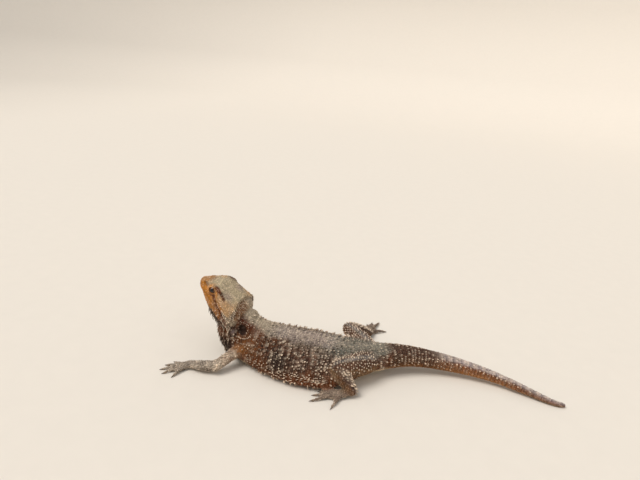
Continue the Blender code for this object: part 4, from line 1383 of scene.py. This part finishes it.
# ---------------------------------------------------------------- the stage
def make_floor(colour):
    """A round floor whose edge curves up far away, so that no horizon shows."""
    rings = [(0.05, 0), (0.4, 0), (1.2, 0), (2.2, 0), (2.9, 0.06), (3.4, 0.3), (3.7, 0.8), (3.8, 1.6), (3.8, 2.6)]
    count = 96
    turn = np.linspace(0, 2 * pi, count, endpoint=False)
    points = [np.stack([r * np.cos(turn), r * np.sin(turn), np.full(count, h)], axis=1) for r, h in rings]
    points = np.concatenate([*points, [(0, 0, 0)]]) / MM
    hub = len(points) - 1
    middle = [(hub, (k + 1) % count, k) for k in range(count)]
    floor = make_mesh("floor", points, np.concatenate([grid_faces(len(rings), count), middle])[:, ::-1])
    made, tree, shader = new_material("pale_floor", 0.9, 0.15)
    grain = texture(tree, "ShaderNodeTexNoise", 60.0, 5.0)
    shade = tuple(c * 0.96 for c in colour)
    tree.links.new(blend(tree, grain.outputs["Fac"], tuple(colour), shade), shader.inputs["Base Color"])
    bumped(tree, shader, grain.outputs["Fac"], 0.08, 0.001)
    floor.data.materials.append(made)


def make_lamp(name, place, spread, power, warmth):
    """A large soft lamp so far away that its light is even over the whole floor."""
    light = bpy.data.lights.new(name, "SUN")
    light.angle = spread
    light.energy = power
    light.color = warmth
    lamp = bpy.data.objects.new(name, light)
    lamp.location = place
    lamp.rotation_euler = (-Vector(place)).to_track_quat("-Z", "Y").to_euler()
    bpy.context.scene.collection.objects.link(lamp)


FOCAL_LENGTH = 27.225  # in mm, for a sensor 36 mm wide


def make_camera(stage):
    """Looks down on the animal's left side from close by."""
    lens = bpy.data.cameras.new("camera")
    lens.lens = FOCAL_LENGTH
    lens.sensor_width = 36.0
    lens.clip_start = 0.01
    lens.dof.use_dof = False
    camera = bpy.data.objects.new("camera", lens)
    middle = (Vector(CAD_BOX[0]) + Vector(CAD_BOX[1])) / 2
    place = Vector(stage.camera_place) + Vector((middle.x, middle.y, 0))
    turn = Matrix.Rotation(stage.camera_heading, 4, "Z") @ Matrix.Rotation(pi / 2 - stage.camera_drop, 4, "X")
    camera.matrix_world = Matrix.Translation(place) @ turn @ Matrix.Rotation(stage.camera_roll, 4, "Z")
    bpy.context.scene.collection.objects.link(camera)
    bpy.context.scene.camera = camera


def make_world(strength):
    world = bpy.data.worlds.new("soft_sky")
    world.use_nodes = True
    sky = world.node_tree.nodes["Background"]
    sky.inputs["Color"].default_value = (0.93, 0.96, 1.0, 1.0)
    sky.inputs["Strength"].default_value = strength
    bpy.context.scene.world = world


# ---------------------------------------------------------------- settings
def srgb(red, green, blue):
    """A colour given as it looks on screen, 0 to 255."""
    return tuple((c / 255 / 12.92) if c <= 10 else ((c / 255 + 0.055) / 1.055) ** 2.4 for c in (red, green, blue))


def length_setting(name, about, default):
    return FloatProperty(name=name, description=about, default=default, min=0.0, unit="LENGTH", subtype="DISTANCE",
                         precision=5)


def colour_setting(name, about, default):
    return FloatVectorProperty(name=name, description=about, default=default, size=3, min=0.0, max=1.0,
                               subtype="COLOR")


def strength_setting(name, about, default):
    return FloatProperty(name=name, description=about, default=default, min=0.0, subtype="FACTOR")


def angle_setting(name, about, degrees):
    return FloatProperty(name=name, description=about, default=radians(degrees), unit="ROTATION", subtype="ANGLE")


class DragonCoat(bpy.types.PropertyGroup):
    """Sizes of the skin's coat."""

    coat_depth: length_setting("Coat depth", "How far the skin lies inside the coat", 0.00035)
    row_pitch: length_setting("Row pitch", "Distance between two rows of scales on the trunk", 0.00185)
    back_scale: length_setting("Back scale", "Length of a small scale of the trunk", 0.00215)
    tail_scale: length_setting("Tail scale", "Length of a scale at the tail's root", 0.0025)
    leg_scale: length_setting("Leg scale", "Length of a scale of the legs", 0.0020)
    foot_scale: length_setting("Foot scale", "Length of a scale of the feet", 0.0015)
    head_scale: length_setting("Head scale", "Length of a plate of the head", 0.0016)
    fringe_spine: length_setting("Fringe spine", "Length of the longest spines of the flanks", 0.0055)
    head_spine: length_setting("Head spine", "Length of the spines round the head", HEAD_SPINE)


class DragonColours(bpy.types.PropertyGroup):
    """Colours of the markings."""

    base: colour_setting("Ground colour", "Greyish brown of the back", srgb(122, 106, 90))
    green: colour_setting("Green grey", "Over the hips and behind the head", srgb(104, 113, 105))
    crown: colour_setting("Crown", "Pale olive tan on top of the head and down the arms", srgb(190, 174, 144))
    # Lavender also paints the ear drum's reflection.
    lavender: colour_setting("Lavender grey", "Along the top of back and tail", srgb(170, 156, 158))
    belly: colour_setting("Belly", "Cream of the underside", srgb(206, 186, 152))
    # Rust also paints shadow and shade: under the brow, on the lids' rear, on the upper arm's root and in the face
    # streak's groove.
    rust: colour_setting("Rust", "Neck, flanks and the streaks of the face", srgb(104, 47, 17))
    gold: colour_setting("Gold", "Lips, cheeks and lids", srgb(198, 131, 50))
    # Dark also paints shade: scale roots, the pocket, the nostril, the mouth's crease, round the ear and behind the
    # crown's edge.
    dark: colour_setting("Dark", "Beard, blotches and spots", srgb(46, 26, 15))
    pale: colour_setting("Pale", "Tips of the spines", srgb(228, 208, 184))
    iris: colour_setting("Iris", "Iris of the eye", srgb(128, 70, 26))
    claw: colour_setting("Claw", "Horn of the claws", srgb(60, 42, 32))


class DragonStage(bpy.types.PropertyGroup):
    """The floor, the light and the camera."""

    floor: colour_setting("Floor", "Colour of the floor", srgb(222, 214, 203))
    key_power: strength_setting("Key light", "Strength of the main soft light", 2.3)
    fill_power: strength_setting("Fill light", "Strength of the weaker light", 0.3)
    sky: strength_setting("Sky", "Strength of the even light from all round", 0.62)
    camera_place: FloatVectorProperty(
        name="Camera place", description="From the middle of the model's box, at floor level",
        default=(-0.00312, -0.42044, 0.274), size=3, unit="LENGTH", subtype="TRANSLATION")
    camera_heading: angle_setting("Heading", "Turn to the left of straight ahead", 7.37)
    camera_drop: angle_setting("Drop", "How far it looks down", 19.8)
    camera_roll: angle_setting("Roll", "Tilt about its own line of sight", 5.38)


# ---------------------------------------------------------------- operators
def need_skin():
    if "flat" not in BODY:
        raise RuntimeError("make the skin first")


def cover(context, *regions):
    """Lays the coat over some regions; all of them share one material."""
    need_skin()
    if "coat_material" not in BODY:
        BODY["coat_material"] = scaly_finish("scales", context.scene.dragon_colours, False)
    for region in regions:
        region(context.scene.dragon_coat, BODY["coat_material"])
    return {"FINISHED"}


class DRAGON_OT_skin(bpy.types.Operator):
    """Makes one skin over all the parts of flesh, with the folds of the head, and paints its markings"""

    bl_idname = "dragon.skin"
    bl_label = "Make the skin"

    def execute(self, context):
        build_skin(context.scene.dragon_coat.coat_depth / MM)
        measure_skin()
        paint_skin()
        lay_flat()
        piece = make_mesh("skin", BODY["points"], BODY["faces"])
        mark_colours(piece, BODY["fields"], -0.6)
        piece.data.materials.append(scaly_finish("bare_skin", context.scene.dragon_colours, True))
        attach(piece, "root")
        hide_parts(*FLESH)
        print(f"skin: {len(BODY['faces'])} triangles")
        return {"FINISHED"}


class DRAGON_OT_eyes(bpy.types.Operator):
    """Makes both eyeballs"""

    bl_idname = "dragon.eyes"
    bl_label = "Make the eyes"

    def execute(self, context):
        need_skin()
        material = eye_finish(context.scene.dragon_colours)
        for name, side in SIDES:
            make_eye(name, side, material)
        return {"FINISHED"}


class DRAGON_OT_claws(bpy.types.Operator):
    """Makes the twenty claws"""

    bl_idname = "dragon.claws"
    bl_label = "Make the claws"

    def execute(self, context):
        need_skin()
        material = claw_finish(context.scene.dragon_colours)
        for name in sorted(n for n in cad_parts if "_claw_" in n):
            make_claw(name, material)
        return {"FINISHED"}


class DRAGON_OT_head_scales(bpy.types.Operator):
    """Covers the head with plates and makes the eyelids"""

    bl_idname = "dragon.head_scales"
    bl_label = "Cover the head"

    def execute(self, context):
        return cover(context, cover_head)


class DRAGON_OT_body_scales(bpy.types.Operator):
    """Covers neck, trunk and tail"""

    bl_idname = "dragon.body_scales"
    bl_label = "Cover the body"

    def execute(self, context):
        return cover(context, cover_trunk, cover_tail)


class DRAGON_OT_leg_scales(bpy.types.Operator):
    """Covers legs and feet"""

    bl_idname = "dragon.leg_scales"
    bl_label = "Cover the legs"

    def execute(self, context):
        return cover(context, cover_legs, cover_feet)


class DRAGON_OT_spines(bpy.types.Operator):
    """Makes the spines of flanks, head and beard"""

    bl_idname = "dragon.spines"
    bl_label = "Make the spines"

    def execute(self, context):
        return cover(context, cover_flanks, cover_with_spines)


class DRAGON_OT_stage(bpy.types.Operator):
    """Makes the floor, the lights and the camera"""

    bl_idname = "dragon.stage"
    bl_label = "Set the stage"

    def execute(self, context):
        stage = context.scene.dragon_stage
        make_floor(tuple(stage.floor))
        make_world(stage.sky)
        make_lamp("key_light", (-0.45, -0.35, 0.85), radians(32), stage.key_power, (1.0, 0.97, 0.925))
        make_lamp("fill_light", (0.8, -0.5, 0.7), radians(50), stage.fill_power, (0.92, 0.96, 1.0))
        make_camera(stage)
        return {"FINISHED"}


class DRAGON_PT_panel(bpy.types.Panel):
    """Lists the settings and the steps"""

    bl_label = "Bearded Dragon"
    bl_idname = "DRAGON_PT_panel"
    bl_space_type = "VIEW_3D"
    bl_region_type = "UI"
    bl_category = "Bearded Dragon"

    def draw(self, context):
        for title, group in (("Coat", context.scene.dragon_coat), ("Colours", context.scene.dragon_colours),
                             ("Stage", context.scene.dragon_stage)):
            box = self.layout.box()
            box.label(text=title)
            for name in type(group).__annotations__:
                box.prop(group, name)
        for step in STEPS:
            self.layout.operator(step.bl_idname)


STEPS = (
    DRAGON_OT_skin, DRAGON_OT_eyes, DRAGON_OT_claws, DRAGON_OT_head_scales,
    DRAGON_OT_body_scales, DRAGON_OT_leg_scales, DRAGON_OT_spines, DRAGON_OT_stage,
)
GROUPS = (("dragon_coat", DragonCoat), ("dragon_colours", DragonColours), ("dragon_stage", DragonStage))


def register():
    for _, group in GROUPS:
        bpy.utils.register_class(group)
    for step in (*STEPS, DRAGON_PT_panel):
        bpy.utils.register_class(step)
    for name, group in GROUPS:
        setattr(bpy.types.Scene, name, PointerProperty(type=group))


def unregister():
    for name, _ in GROUPS:
        delattr(bpy.types.Scene, name)
    for step in (DRAGON_PT_panel, *reversed(STEPS)):
        bpy.utils.unregister_class(step)
    for _, group in reversed(GROUPS):
        bpy.utils.unregister_class(group)


def main():
    register()
    bpy.ops.dragon.skin()
    bpy.ops.dragon.eyes()
    bpy.ops.dragon.claws()
    bpy.ops.dragon.head_scales()
    bpy.ops.dragon.body_scales()
    bpy.ops.dragon.leg_scales()
    bpy.ops.dragon.spines()
    bpy.ops.dragon.stage()
    bpy.context.scene.view_settings.view_transform = "Standard"


if __name__ == "__main__":
    main()
